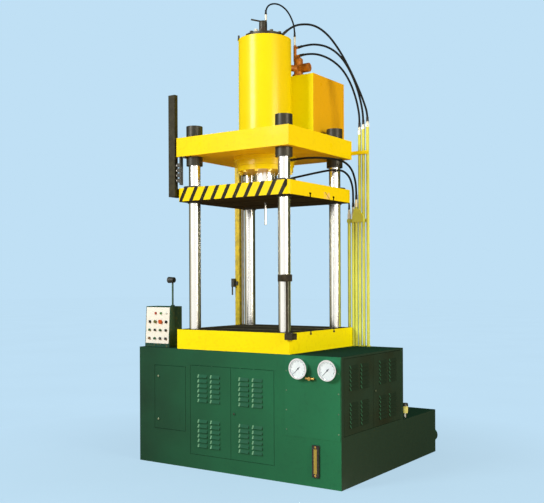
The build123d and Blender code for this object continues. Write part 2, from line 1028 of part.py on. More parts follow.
head_outline = [
    (0, cylinder_top - head_spigot),
    (cylinder_bore - contact_gap, cylinder_top - head_spigot),
    (cylinder_bore - contact_gap, cylinder_top),
    (head_radius, cylinder_top),
    (head_radius, head_top),
    (0, head_top),
]
head = turned(head_outline)
bleed = block(
    (head_radius - bleed_block, -bleed_block / 2, cylinder_top),
    (bleed_reach + bleed_block / 2, bleed_block / 2, cylinder_top + bleed_block),
)
bleed += bar(bleed_radius, cylinder_top + bleed_block, cylinder_top + bleed_height, bleed_reach)
head += Rot(0, 0, bleed_turn) * bleed
head += bar(head_boss_radius, head_top - bite, head_top + head_boss_height, head_boss_x, head_boss_y)
head += port(head_hose, port_radius, head_port)
save("cylinder_head", head)

gland_ring = ring_places(gland_bolts, gland_bolt_circle, gland_bolt_turn)
head_ring = ring_places(head_bolts, head_bolt_circle, head_bolt_turn)
bolts = [hex_head(x, y, gland_bottom - bolt_head) for x, y in gland_ring]
bolts += [hex_head(x, y, head_top) for x, y in head_ring]
save("cylinder_bolts", *bolts)


# Prefill valve on the head

prefill_top = head_top + prefill_height
prefill_port_low = prefill_top + prefill_port_rise
prefill_outline = [
    (0, head_top),
    (prefill_radius + prefill_flange, head_top),
    (prefill_radius + prefill_flange, head_top + prefill_foot),
    (prefill_radius, head_top + prefill_foot),
    (prefill_radius, prefill_top - prefill_shoulder),
    (prefill_radius - prefill_shoulder, prefill_top),
    (0, prefill_top),
]
prefill = turned(prefill_outline, prefill_x, prefill_y)
lever = rod(
    prefill_lever_radius,
    (prefill_lever_back, 0, prefill_top - prefill_lever_low),
    (-prefill_lever_reach, 0, prefill_top + prefill_lever_high),
)
prefill += Pos(prefill_x, prefill_y, 0) * Rot(0, 0, prefill_lever_turn) * lever
prefill += bar(
    prefill_pilot_radius, head_top, head_top + prefill_pilot_height, prefill_pilot_x, prefill_pilot_y
)
prefill += bar(
    prefill_port_radius, prefill_top - prefill_shoulder, prefill_port_low, prefill_port_x, prefill_port_y
)
save("prefill_valve", prefill)


# Ram with its piston, and the knock-out rod inside it

piston_top = cylinder_top - head_spigot - piston_gap
piston_bottom = piston_top - piston_height
knockout_chamber = knockout_down + knockout_head + knockout_travel + flat_gap
ram_outline = [
    (knockout_head_radius, slide_top),
    (ram_flange_radius, slide_top),
    (ram_flange_radius, slide_top + ram_flange),
    (ram_radius, slide_top + ram_flange),
    (ram_radius, piston_bottom),
    (cylinder_bore - running_gap, piston_bottom),
    (cylinder_bore - running_gap, piston_top),
    (0, piston_top),
    (0, knockout_chamber),
    (knockout_head_radius, knockout_chamber),
]
ram = turned(ram_outline)
flange_top = slide_top + ram_flange
ram += bar(port_radius, flange_top - bite, flange_top + feed_port_height, feed_port_x, feed_port_y)
ram += port(feed_hose, port_radius, feed_port)
ram += bar(tail_radius, flange_top - bite, flange_top + return_port_height, 0, return_port_y)
ram += port(return_hose, tail_radius, return_port)
save("ram", ram)

knockout_outline = [
    (0, knockout_tip),
    (knockout_radius - knockout_chamfer, knockout_tip),
    (knockout_radius, knockout_tip + knockout_chamfer),
    (knockout_radius, knockout_down),
    (knockout_head_radius - running_gap, knockout_down),
    (knockout_head_radius - running_gap, knockout_down + knockout_head),
    (0, knockout_down + knockout_head),
]
save("knockout_rod", turned(knockout_outline))


# Upper oil tank on the crown, and its valve

upper_half = upper_tank_width / 2
upper_top = crown_top + upper_tank_height
upper_tank = block((-upper_half, upper_tank_front, crown_top), (upper_half, upper_tank_back, upper_top))
upper_tank -= block(
    (tank_sheet - upper_half, upper_tank_front + tank_sheet, crown_top + tank_sheet),
    (upper_half - tank_sheet, upper_tank_back - tank_sheet, upper_top - tank_sheet),
)
upper_tank -= bar(valve_outlet_radius, upper_top - tank_sheet - 1, upper_top + 1, valve_x, valve_y)
for x in (-bracket_spread, bracket_spread):
    upper_tank += along_x(
        [
            (half_depth, crown_top),
            (upper_tank_back - bracket_inset, crown_top),
            (half_depth + bracket_inset, crown_top - bracket_height),
            (half_depth, crown_top - bracket_height),
        ],
        x - bracket_sheet / 2,
        x + bracket_sheet / 2,
    )
save("upper_tank", upper_tank)

valve_top = upper_top + valve_height
barrel_z = upper_top + valve_barrel_rise
valve_outline = [
    (0, upper_top),
    (valve_foot_radius, upper_top),
    (valve_foot_radius, upper_top + valve_foot),
    (valve_radius, upper_top + valve_foot),
    (valve_radius, valve_top - valve_shoulder),
    (valve_radius - valve_shoulder, valve_top),
    (0, valve_top),
]
tank_valve = turned(valve_outline, valve_x, valve_y)
barrel = Vector(valve_x, valve_y, barrel_z)
tank_valve += rod(valve_barrel_radius, barrel, barrel + Vector(valve_barrel_reach, 0, 0))
neck_top = upper_top + valve_neck_height
tank_valve += bar(valve_neck_radius, valve_top - valve_neck_lap, neck_top, valve_head_x, valve_y)
outlet = Vector(valve_x * valve_outlet_share, valve_y * valve_outlet_share, barrel_z)
tank_valve += rod(valve_outlet_radius, barrel, outlet) - bar(
    cylinder_radius + contact_gap, crown_top, cylinder_top
)
tank_valve += port(valve_hose, port_radius, valve_port)
tank_valve += port(valve_lower_hose, port_radius, valve_lower_port)
save("tank_valve", tank_valve)


# Oil pipes, their end fittings and the clamp

pipe_lines = [half_width + place for place in pipe_places]
pipes = []
fittings = []
for x, top_rise, height in zip(pipe_lines, pipe_tops, fitting_heights):
    low = crown_bottom + top_rise
    high = low + height
    waist = low + fitting_share * height
    foot = Pos(x, pipe_y, cabinet_height) * Box(
        foot_side, foot_side, foot_height, align=(Align.CENTER, Align.CENTER, Align.MIN)
    )
    pipes.append(foot + bar(pipe_radius, cabinet_height, low, x, pipe_y))
    swivel = Pos(x, pipe_y, low) * extrude(RegularPolygon(fitting_radius, hex_sides), amount=waist - low)
    fittings.append(swivel + bar(port_radius, waist, high, x, pipe_y))
save("oil_pipes", *pipes)

fittings.append(
    bar(
        prefill_port_radius,
        prefill_port_low,
        crown_bottom + pilot_hose[0][2],
        prefill_port_x,
        prefill_port_y,
    )
)
fittings.append(bar(tail_radius, neck_top, neck_top + riser_height, riser_x, valve_y))
cock_x = (gauge_left_x + gauge_right_x) / 2 - cock_handle_left
cock_z = gauge_z - cock_drop
cock_face = panel_face - cock_handle_depth
cock = rod(cock_radius, (cock_x, panel_face, cock_z), (cock_x, panel_face - cock_length, cock_z))
cock += rod(
    cock_handle_radius,
    (cock_x - cock_handle_left, cock_face, cock_z),
    (cock_x + cock_handle_right, cock_face, cock_z),
)
fittings.append(cock)
save("pipe_fittings", *fittings)

clamp_left = pipe_lines[0] - foot_side / 2
clamp_right = pipe_lines[clamp_pipes - 1] + foot_side / 2
clamp_top = clamp_bottom + clamp_height
clamp_bores = [
    bar(pipe_radius + contact_gap, clamp_bottom - 1, clamp_top + 1, x, pipe_y) for x in pipe_lines
]
clamp_halves = []
for near, far in ((-clamp_front, -contact_gap), (contact_gap, clamp_depth)):
    half = block((clamp_left, pipe_y + near, clamp_bottom), (clamp_right, pipe_y + far, clamp_top))
    clamp_halves.append(half - clamp_bores)
guard = along_y(
    [
        (guard_left, clamp_bottom),
        (guard_right, clamp_bottom),
        (guard_right, clamp_bottom + guard_shoulder),
        (guard_top_right, clamp_bottom + guard_height),
        (guard_top_left, clamp_bottom + guard_height),
        (guard_left, clamp_bottom + guard_shoulder),
    ],
    pipe_y - clamp_front - guard_sheet,
    pipe_y - clamp_front,
)
clamp_halves[0] += guard
save("pipe_clamp", *clamp_halves)


# Hoses: straight runs joined by tangent arcs, chosen along the real routes

def hose(name, points, radius):
    """Write one hose and print its bend radii and its volume against its section times its length."""
    route = lifted(points)
    runs = [end - start for start, end in zip(route, route[1:])]
    radii = []
    for before, after in zip(runs, runs[1:]):
        turn = radians(before.get_angle(after))
        radii.append(bend_share * min(before.length, after.length) / tan(turn / 2))
    path = FilletPolyline(*route, radius=radii)
    tube = sweep(Plane(origin=path @ 0, z_dir=path % 0) * Circle(radius), path=path)
    expected = pi * radius**2 * path.length
    print(name, "runs", [round(run.length) for run in runs], "radii", [round(bend) for bend in radii])
    print(name, "length", round(path.length), "volume share", round(tube.volume / expected, 4))
    save(name, tube)


hose("hose_head_to_pipe", head_hose, hose_radius)
hose("hose_valve_to_pipe", valve_hose, hose_radius)
hose("hose_valve_lower", valve_lower_hose, hose_radius)
hose("hose_prefill_pilot", pilot_hose, thin_hose_radius)
hose("hose_cylinder_lower", cylinder_hose, hose_radius)
hose("hose_knockout_feed", feed_hose, hose_radius)
hose("hose_knockout_return", return_hose, thin_hose_radius)


# Striker bar, limit switches and their post

channel = [
    (-bar_inner, -bar_front),
    (-bar_outer, -bar_front),
    (-bar_outer, -bar_front + bar_web),
    (-bar_inner - bar_web, -bar_front + bar_web),
    (-bar_inner - bar_web, -bar_back - bar_web),
    (-bar_outer, -bar_back - bar_web),
    (-bar_outer, -bar_back),
    (-bar_inner, -bar_back),
]
bar_foot = along_z(
    [
        (-bar_outer, -bar_front),
        (-bar_inner, -bar_front),
        (-bar_inner, slide_corner - half_depth),
        (-half_width, slide_corner - half_depth),
        (-half_width, 2 * slide_corner - half_depth),
        (-bar_outer, 2 * slide_corner - half_depth),
    ],
    slide_top - bar_foot_height,
    slide_top,
)
save("striker_bar", bar_foot + along_z(channel, slide_top - 1, bar_top))

roller_x = -bar_inner + flat_gap + roller_radius
body_left = roller_x + roller_radius + roller_gap
plate_left = body_left + switch_body
switch_y = -(bar_front + bar_back) / 2
plate_half = switch_plate_width / 2
half_pin = switch_pin / 2
carrier = block(
    (plate_left, switch_y - plate_half, switch_plate_bottom),
    (plate_left + switch_plate, switch_y + plate_half, crown_bottom),
)
carrier += block(
    (plate_left, switch_y - half_pin, crown_bottom - switch_plate),
    (plate_left + switch_arm, switch_y + plate_half, crown_bottom),
)
switches = [carrier]
for rise in switch_rises:
    z = slide_top + rise
    switch = block(
        (body_left, switch_y - switch_body / 2, z - switch_height / 2),
        (plate_left, switch_y + switch_body / 2, z + switch_height / 2),
    )
    switch += block(
        (roller_x, switch_y - half_pin, z - half_pin), (body_left, switch_y + half_pin, z + half_pin)
    )
    switch += rod(
        roller_radius,
        (roller_x, switch_y - roller_width / 2, z),
        (roller_x, switch_y + roller_width / 2, z),
    )
    switches.append(switch)
post_left = -post_x - post_width / 2
post_right = -post_x + post_width / 2
post_front = post_y - post_depth / 2
post_back = post_y + post_depth / 2
switch_left = post_left - post_switch_reach
switch_right = switch_left + post_switch_width
switch_front = post_front - post_switch_depth
switch_bottom = post_switch_top - post_switch_height
post_switch = block((switch_left, switch_front, switch_bottom), (switch_right, post_front, post_switch_top))
post_switch += block(
    (switch_right - bite, post_front - switch_plate, post_switch_top - post_switch_arm_low),
    (switch_right + post_switch_arm, post_front, post_switch_top - post_switch_arm_high),
)
lever_left = switch_left + post_switch_lever_inset
post_switch += block(
    (lever_left, switch_front, switch_bottom - post_switch_lever_length),
    (lever_left + post_switch_lever, switch_front + post_switch_lever, switch_bottom + bite),
)
switches.append(post_switch)
save("limit_switches", *switches)

post = block((post_left, post_front, post_bottom), (post_right, post_back, post_top))
post -= block(
    (post_left + post_sheet, post_front + post_sheet, post_bottom - 1),
    (post_right - post_sheet, post_back - post_sheet, post_top - post_sheet),
)
for low in (post_bottom, crown_bottom + post_pad_rise):
    post += block((post_right - bite, post_front, low), (-half_width, post_back, low + post_pad_height))
conduit = bar(conduit_radius, cabinet_height, crown_bottom + post_pad_rise, -conduit_x, conduit_y)
for low in (post_bottom, crown_bottom - 2 * post_pad_height):
    clip_top = low + switch_plate
    conduit += block(
        (-conduit_x, conduit_y - conduit_radius, low), (-half_width, conduit_y + conduit_radius, clip_top)
    )
save("switch_post", post, conduit)


# Stop rod beside the front right column, with its clamp ring and its foot on the bolster

collar = bar(collar_radius, collar_bottom, collar_bottom + collar_height, column_x, -column_y)
arm_turn = degrees(atan2(column_y - stop_rod_y, stop_rod_x - column_x))
arm_length = hypot(stop_rod_x - column_x, stop_rod_y - column_y) + collar_arm_lap
arm = block(
    (0, -collar_arm / 2, collar_bottom), (arm_length, collar_arm / 2, collar_bottom + collar_height)
)
collar += Pos(column_x, -column_y, 0) * Rot(0, 0, arm_turn) * arm
collar -= bar(
    column_radius + contact_gap, collar_bottom - 1, collar_bottom + collar_height + 1, column_x, -column_y
)
rod_top = collar_bottom + collar_height + stop_rod_rise
collar += bar(stop_rod_radius, bolster_top - stop_rod_seat, rod_top, stop_rod_x, -stop_rod_y)
foot_half = stop_foot_side / 2
foot = block(
    (stop_foot_x - foot_half, -stop_foot_y - foot_half, bolster_top - stop_foot),
    (stop_foot_x + foot_half, -stop_foot_y + foot_half, bolster_top),
)
foot -= block((0, -half_depth, 0), (half_width, 0, bolster_top + 1))
save("stop_collar", collar + foot)


# Operating console on the cabinet's front left corner

console_right = -console_left + console_width
console_top = cabinet_height + console_height


def console_side(inset):
    """Side outline of the console, from (y, z) points, drawn in by a sheet's thickness."""
    front_low = -console_front + inset
    front_high = -console_front + console_lean + inset
    back_low = -console_front + console_depth - inset
    back_high = -console_front + console_lean + console_top_depth - inset
    return [
        (front_low, cabinet_height + inset),
        (front_high, console_top - inset),
        (back_high, console_top - inset),
        (back_low, cabinet_height + inset),
    ]


console = along_x(console_side(0), -console_left, console_right)
console -= along_x(console_side(console_sheet), -console_left + console_sheet, console_right - console_sheet)
face_length = hypot(console_height, console_lean)
face_frame = Plane(
    origin=(-console_left, -console_front, cabinet_height),
    x_dir=(1, 0, 0),
    z_dir=(0, -console_height, console_lean),
)
panel_plan = Pos(console_width / 2, (face_length + panel_foot - panel_margin) / 2) * Rectangle(
    console_width - 2 * panel_margin, face_length - panel_foot - panel_margin
)
panel = extrude(face_frame * panel_plan, amount=panel_sheet)


def on_panel(across, up, shape):
    """Place a shape that stands on the panel's face, given where its middle lies."""
    return face_frame * Pos(across, up, panel_sheet) * shape


def stem(bottom, top, side=stem_side):
    """Square stem of a control, between two heights over the panel's face."""
    return block((-side / 2, -side / 2, bottom), (side / 2, side / 2, top))


def control(radius, height):
    """Round control whose stem runs back through the panel."""
    lift = flat_gap + button_travel
    return bar(radius, lift, lift + height) + stem(-stem_length, lift)


row_4, row_3, row_2, row_1 = control_rows
column_1, column_2, column_3, column_4 = control_columns
button_places = [(x, z) for z in (row_3, row_4) for x in control_columns]
selector_places = [(column_1, row_2), (column_4, row_2)]
pressed_places = [(column_2, row_2), (column_3, row_2)]
hole_side = stem_side + 2 * running_gap
for across, up in button_places + selector_places + pressed_places:
    hole = stem(-hole_depth, bite, hole_side)
    if (across, up) in selector_places:
        hole = bar(stem_side / 2 + running_gap, -hole_depth, bite)
    panel -= on_panel(across, up, hole)
    console -= on_panel(across, up, hole)
save("console_panel", panel)
entry_back = -console_front + console_depth
console += block(
    (console_right - 2 * cable_entry, entry_back - cable_entry, cabinet_height),
    (console_right - cable_entry, entry_back + cable_entry_depth, cabinet_height + cable_entry),
)
save("console_box", console)

for number, (across, up) in enumerate(button_places, start=1):
    save(f"push_button_{number}", on_panel(across, up, control(button_radius, button_height)))
save("start_button", on_panel(column_2, row_2, control(start_button_radius, button_height)))
save("emergency_button", on_panel(column_3, row_2, control(mushroom_radius, mushroom_height)))


def selector():
    """Selector switch: a round base with a raised grip across it."""
    base_top = flat_gap + selector_base
    base = bar(selector_radius, flat_gap, base_top)
    grip = block(
        (-selector_grip / 2, -selector_radius, base_top),
        (selector_grip / 2, selector_radius, base_top + selector_rise),
    )
    return base + grip + bar(stem_side / 2, -stem_length, flat_gap)


save("selector_left", on_panel(*selector_places[0], selector()))
save("selector_right", on_panel(*selector_places[1], selector()))
save(
    "pilot_lamps",
    on_panel(column_2, row_1, bar(button_radius, 0, lamp_height)),
    on_panel(column_3, row_1, bar(button_radius, 0, lamp_height)),
    on_panel(column_4, row_1, bar(key_radius, 0, lamp_height)),
)

work_lamp_top = console_top + work_lamp_rise
work_lamp = bar(work_lamp_radius, console_top, work_lamp_top, -work_lamp_x, -work_lamp_y)
work_lamp += bar(
    work_lamp_foot_radius, console_top, console_top + work_lamp_foot, -work_lamp_x, -work_lamp_y
)
head_z = work_lamp_top + lamp_head_radius - lamp_head_drop
head_frame = Plane(
    origin=(lamp_head_offset - work_lamp_x, -work_lamp_y, head_z), x_dir=(0, 1, 0), z_dir=(-1, 0, 0)
)
lamp_head = head_frame * Cone(
    lamp_head_mouth, lamp_head_radius, lamp_head_length, align=(Align.CENTER, Align.CENTER, Align.MIN)
)
save("work_lamp", work_lamp + lamp_head)


# Pump set on the tank's top plate

motor_floor = tank_height + wall_sheet
motor_z = motor_floor + motor_radius + motor_lift
motor_start = motor_y - motor_length / 2
motor_end = motor_y + motor_length / 2
motor = rod(motor_radius, (motor_x, motor_start, motor_z), (motor_x, motor_end, motor_z))
motor += block(
    (motor_x - terminal_box / 2, motor_y - terminal_box / 2, motor_z),
    (motor_x + terminal_box / 2, motor_y + terminal_box / 2, motor_z + motor_radius + terminal_box / 2),
)
motor += block(
    (motor_x - motor_radius, motor_start + motor_foot_inset, motor_floor),
    (motor_x + motor_radius, motor_end - motor_foot_inset, motor_floor + motor_foot),
)
motor += rod(
    pump_radius, (motor_x, motor_start - pump_length, motor_z), (motor_x, motor_start, motor_z)
)
save("pump_unit", motor)
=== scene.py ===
import itertools
import logging
import math
from dataclasses import dataclass, field
from enum import Enum
from functools import partialmethod
from typing import ClassVar, Sequence

import bmesh
import bpy
from mathutils import Matrix, Vector


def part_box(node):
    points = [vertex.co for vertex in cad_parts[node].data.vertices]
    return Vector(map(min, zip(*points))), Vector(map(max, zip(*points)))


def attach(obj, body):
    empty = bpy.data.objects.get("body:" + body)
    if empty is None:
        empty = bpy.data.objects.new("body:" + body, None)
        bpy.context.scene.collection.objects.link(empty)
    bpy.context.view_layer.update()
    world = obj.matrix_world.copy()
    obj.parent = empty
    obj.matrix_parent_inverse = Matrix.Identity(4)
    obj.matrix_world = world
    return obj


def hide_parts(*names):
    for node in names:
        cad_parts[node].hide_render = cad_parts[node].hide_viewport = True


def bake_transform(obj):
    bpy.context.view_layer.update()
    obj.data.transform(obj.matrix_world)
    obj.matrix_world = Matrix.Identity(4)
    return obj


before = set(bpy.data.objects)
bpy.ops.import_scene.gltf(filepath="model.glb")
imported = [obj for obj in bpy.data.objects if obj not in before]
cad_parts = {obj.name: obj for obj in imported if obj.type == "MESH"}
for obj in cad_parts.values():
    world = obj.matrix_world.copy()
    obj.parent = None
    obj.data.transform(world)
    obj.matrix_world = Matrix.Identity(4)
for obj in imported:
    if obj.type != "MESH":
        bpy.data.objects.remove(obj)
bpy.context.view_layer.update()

LOG = logging.getLogger("press")

Point = tuple[float, float, float]
Colour = tuple[float, float, float]
Pair = tuple[float, float]
Socket = bpy.types.NodeSocket
Material = bpy.types.Material
Vert = bmesh.types.BMVert

# Beyond the press in every direction
FAR = 9.0
# Edges that turn by more degrees than this stay sharp
SHARP_ANGLE = 32.0
# How squarely a face looks along an axis, from where it starts to count to where it counts in full
SQUARE_ON = (0.75, 0.9)
TO_FRONT = Vector((0, -1, 0))
TO_RIGHT = Vector((1, 0, 0))


class Body(Enum):
    """Moving groups that the dressed pieces ride on."""

    FRAME = "frame"
    SLIDE = "slide"
    ELECTRIC_DOOR = "electric_door"
    FRONT_DOOR_RIGHT = "front_door_right"
    SIDE_DOOR_REAR = "side_door_rear"


class Slot(Enum):
    """Finishes of the part's record that new pieces name."""

    GREEN = "green_paint"
    STEEL = "polished_steel"
    BRASS = "brass"
    RUBBER = "hose_rubber"
    BLACK = "black_plastic"
    CREAM = "panel_cream"


class Axis(Enum):
    """Main directions of the press."""

    X = 0
    Y = 1
    Z = 2


class Step(Enum):
    """Steps of arithmetic between values of a finish."""

    ADD = "ADD"
    SUBTRACT = "SUBTRACT"
    MULTIPLY = "MULTIPLY"
    DIVIDE = "DIVIDE"
    MAXIMUM = "MAXIMUM"
    ABSOLUTE = "ABSOLUTE"
    FRACTION = "FRACT"
    ABOVE = "GREATER_THAN"
    BELOW = "LESS_THAN"


# Node building


@dataclass(frozen=True)
class Cloud:
    """Noise of so many features per metre and finer layers, moved from two levels to two others."""

    scale: float
    detail: float
    low: float
    high: float
    to_low: float = 0.0
    to_high: float = 1.0
    stretch: Point | None = None


@dataclass(frozen=True)
class Relief:
    """Noise that raises the surface, with its strength and its height in metres."""

    scale: float
    detail: float
    strength: float
    height: float
    stretch: Point | None = None


class Nodes:
    """Nodes of a material or of the world, and the steps that they are built from."""

    def __init__(self, tree: bpy.types.NodeTree) -> None:
        """Start with an empty tree.

        Args:
            tree: the tree of a new material or world.
        """
        self.tree = tree
        tree.nodes.clear()

    def link(self, source: object, target: Socket) -> None:
        """Join an output to an input, or set the input where the source is a plain value.

        Args:
            source: the output or the value.
            target: the input.
        """
        if isinstance(source, Socket):
            self.tree.links.new(source, target)
        elif target.type == "RGBA":
            target.default_value = (*source, 1.0)
        else:
            target.default_value = source

    def add(self, kind: str, inputs: dict[str | int, object], **settings: object) -> bpy.types.Node:
        """Add a node.

        Args:
            kind: its type, without the start that all types share.
            inputs: outputs and values that go into it, by the input's name or number.
            settings: its own settings.

        Returns:
            The node.
        """
        node = self.tree.nodes.new("ShaderNode" + kind)
        for name, value in settings.items():
            setattr(node, name, value)
        for name, value in inputs.items():
            self.link(value, node.inputs[name])
        return node

    def between(
        self, value: Socket, low: float, high: float, to_low: float = 0.0, to_high: float = 1.0
    ) -> Socket:
        """Move a value from one range to another, held at both ends.

        Args:
            value: the value.
            low: where the first range starts.
            high: where it ends.
            to_low: where the second range starts.
            to_high: where it ends.

        Returns:
            The moved value.
        """
        limits = {"From Min": low, "From Max": high, "To Min": to_low, "To Max": to_high}
        return self.add("MapRange", {"Value": value, **limits}).outputs["Result"]

    def calc(self, step: Step, first: object, second: object = 0.0) -> Socket:
        """Take one step of arithmetic.

        Args:
            step: which one.
            first: its first value.
            second: its second value, where the step has one.

        Returns:
            The result.
        """
        return self.add("Math", {0: first, 1: second}, operation=step.value).outputs["Value"]

    plus = partialmethod(calc, Step.ADD)
    minus = partialmethod(calc, Step.SUBTRACT)
    times = partialmethod(calc, Step.MULTIPLY)
    above = partialmethod(calc, Step.ABOVE)
    below = partialmethod(calc, Step.BELOW)

    def mix(self, share: Socket, first: object, second: object) -> Socket:
        """Blend two colours.

        Args:
            share: the second one's share.
            first: the first colour.
            second: the second colour.

        Returns:
            The blended colour.
        """
        return self.add("Mix", {0: share, 6: first, 7: second}, data_type="RGBA").outputs[2]

    def parts_of(self, vector: Socket) -> bpy.types.NodeOutputs:
        """The X, Y and Z of a vector."""
        return self.add("SeparateXYZ", {0: vector}).outputs


class Shading(Nodes):
    """One material, in the press's own coordinates."""

    def __init__(self, name: str) -> None:
        """Start an empty material.

        Args:
            name: the finish's plain name.
        """
        self.material = bpy.data.materials.new(name)
        self.material.use_nodes = True
        super().__init__(self.material.node_tree)
        self.shader = self.add("BsdfPrincipled", {})
        self.add("OutputMaterial", {"Surface": self.shader.outputs["BSDF"]})
        coordinates = self.add("TexCoord", {}).outputs
        self.place = coordinates["Object"]
        self.normal = coordinates["Normal"]

    def noise(self, source: Cloud | Relief) -> Socket:
        """Cloudy noise.

        Args:
            source: a cloud or relief, which says how fine it is.

        Returns:
            The noise's value, about 0.5 in the middle.
        """
        place = self.place
        if source.stretch is not None:
            place = self.add("Mapping", {"Scale": source.stretch, "Vector": place}).outputs["Vector"]
        fineness = {"Scale": source.scale, "Detail": source.detail, "Vector": place}
        return self.add("TexNoise", fineness).outputs["Fac"]

    def cloud(self, cloud: Cloud) -> Socket:
        """Value of a cloud over the surface."""
        return self.between(self.noise(cloud), cloud.low, cloud.high, cloud.to_low, cloud.to_high)

    def facing(self, axis: Axis, positive: bool = True) -> Socket:
        """Tell the faces that look along one direction of the press.

        Args:
            axis: the direction.
            positive: whether they look up the axis or down it.

        Returns:
            1 on those faces, and 0 elsewhere.
        """
        along = self.parts_of(self.normal)[axis.value]
        if not positive:
            along = self.times(along, -1.0)
        return self.between(along, *SQUARE_ON)

    def within(self, axis: Axis, start: float, end: float) -> Socket:
        """Tell a stretch along one axis of the press.

        Args:
            axis: the axis.
            start: where the stretch starts.
            end: where it ends.

        Returns:
            1 inside it, and 0 elsewhere.
        """
        place = self.parts_of(self.place)[axis.value]
        return self.times(self.above(place, start), self.below(place, end))

    def bump(self, rise: Socket, strength: float, height: float) -> None:
        """Raise the surface, after any bump that is already there.

        Args:
            rise: the share of the height at each place.
            strength: how much it shows.
            height: its height in metres.
        """
        node = self.add("Bump", {"Strength": strength, "Distance": height, "Height": rise})
        earlier = self.shader.inputs["Normal"].links
        if earlier:
            self.link(earlier[0].from_socket, node.inputs["Normal"])
        self.link(node.outputs["Normal"], self.shader.inputs["Normal"])

    def raised(self, relief: Relief) -> Socket:
        """Raise the surface by a relief.

        Args:
            relief: the relief.

        Returns:
            Its noise.
        """
        noise = self.noise(relief)
        self.bump(noise, relief.strength, relief.height)
        return noise

    def set(self, **sockets: object) -> None:
        """Set or link the shader's inputs, named with underscores for spaces."""
        for name, value in sockets.items():
            self.link(value, self.shader.inputs[name.replace("_", " ")])


@dataclass(frozen=True)
class Reflected:
    """Surroundings as gloss sees them: bright from one side, olive across, dark from behind."""

    bright_side: Point = (0.22, -0.975, 0.0)
    level: Point = (1.0, 1.0, 0.0)
    stops: tuple[tuple[float, Colour], ...] = (
        (0.10, (0.015, 0.022, 0.010)),
        (0.38, (0.11, 0.11, 0.055)),
        (0.66, (0.42, 0.38, 0.27)),
        (0.84, (1.0, 0.99, 0.95)),
    )

    def colour(self, nodes: Nodes, direction: Socket) -> Socket:
        """Colour along a direction.

        Args:
            nodes: nodes of the world or of a material.
            direction: any vector along the direction.

        Returns:
            The colour.
        """
        flat = nodes.add("VectorMath", {0: direction, 1: self.level}, operation="MULTIPLY")
        unit = nodes.add("VectorMath", {0: flat.outputs["Vector"]}, operation="NORMALIZE")
        sides = {0: unit.outputs["Vector"], 1: self.bright_side}
        toward = nodes.add("VectorMath", sides, operation="DOT_PRODUCT").outputs["Value"]
        ramp = nodes.add("ValToRGB", {"Fac": nodes.between(toward, -1.0, 1.0)})
        while len(ramp.color_ramp.elements) < len(self.stops):
            ramp.color_ramp.elements.new(0.5)
        for element, (place, colour) in zip(ramp.color_ramp.elements, self.stops):
            element.position = place
            element.color = (*colour, 1.0)
        return ramp.outputs["Color"]


# Finishes


@dataclass(frozen=True)
class Finish:
    """One finish of the press, with a plain name."""

    name: str

    def dress(self, shading: Shading) -> None:
        """Give a material its looks, which each kind of finish does in its own way."""

    def build(self) -> Material:
        """Make the material.

        Returns:
            The material.
        """
        shading = Shading(self.name)
        self.dress(shading)
        return shading.material


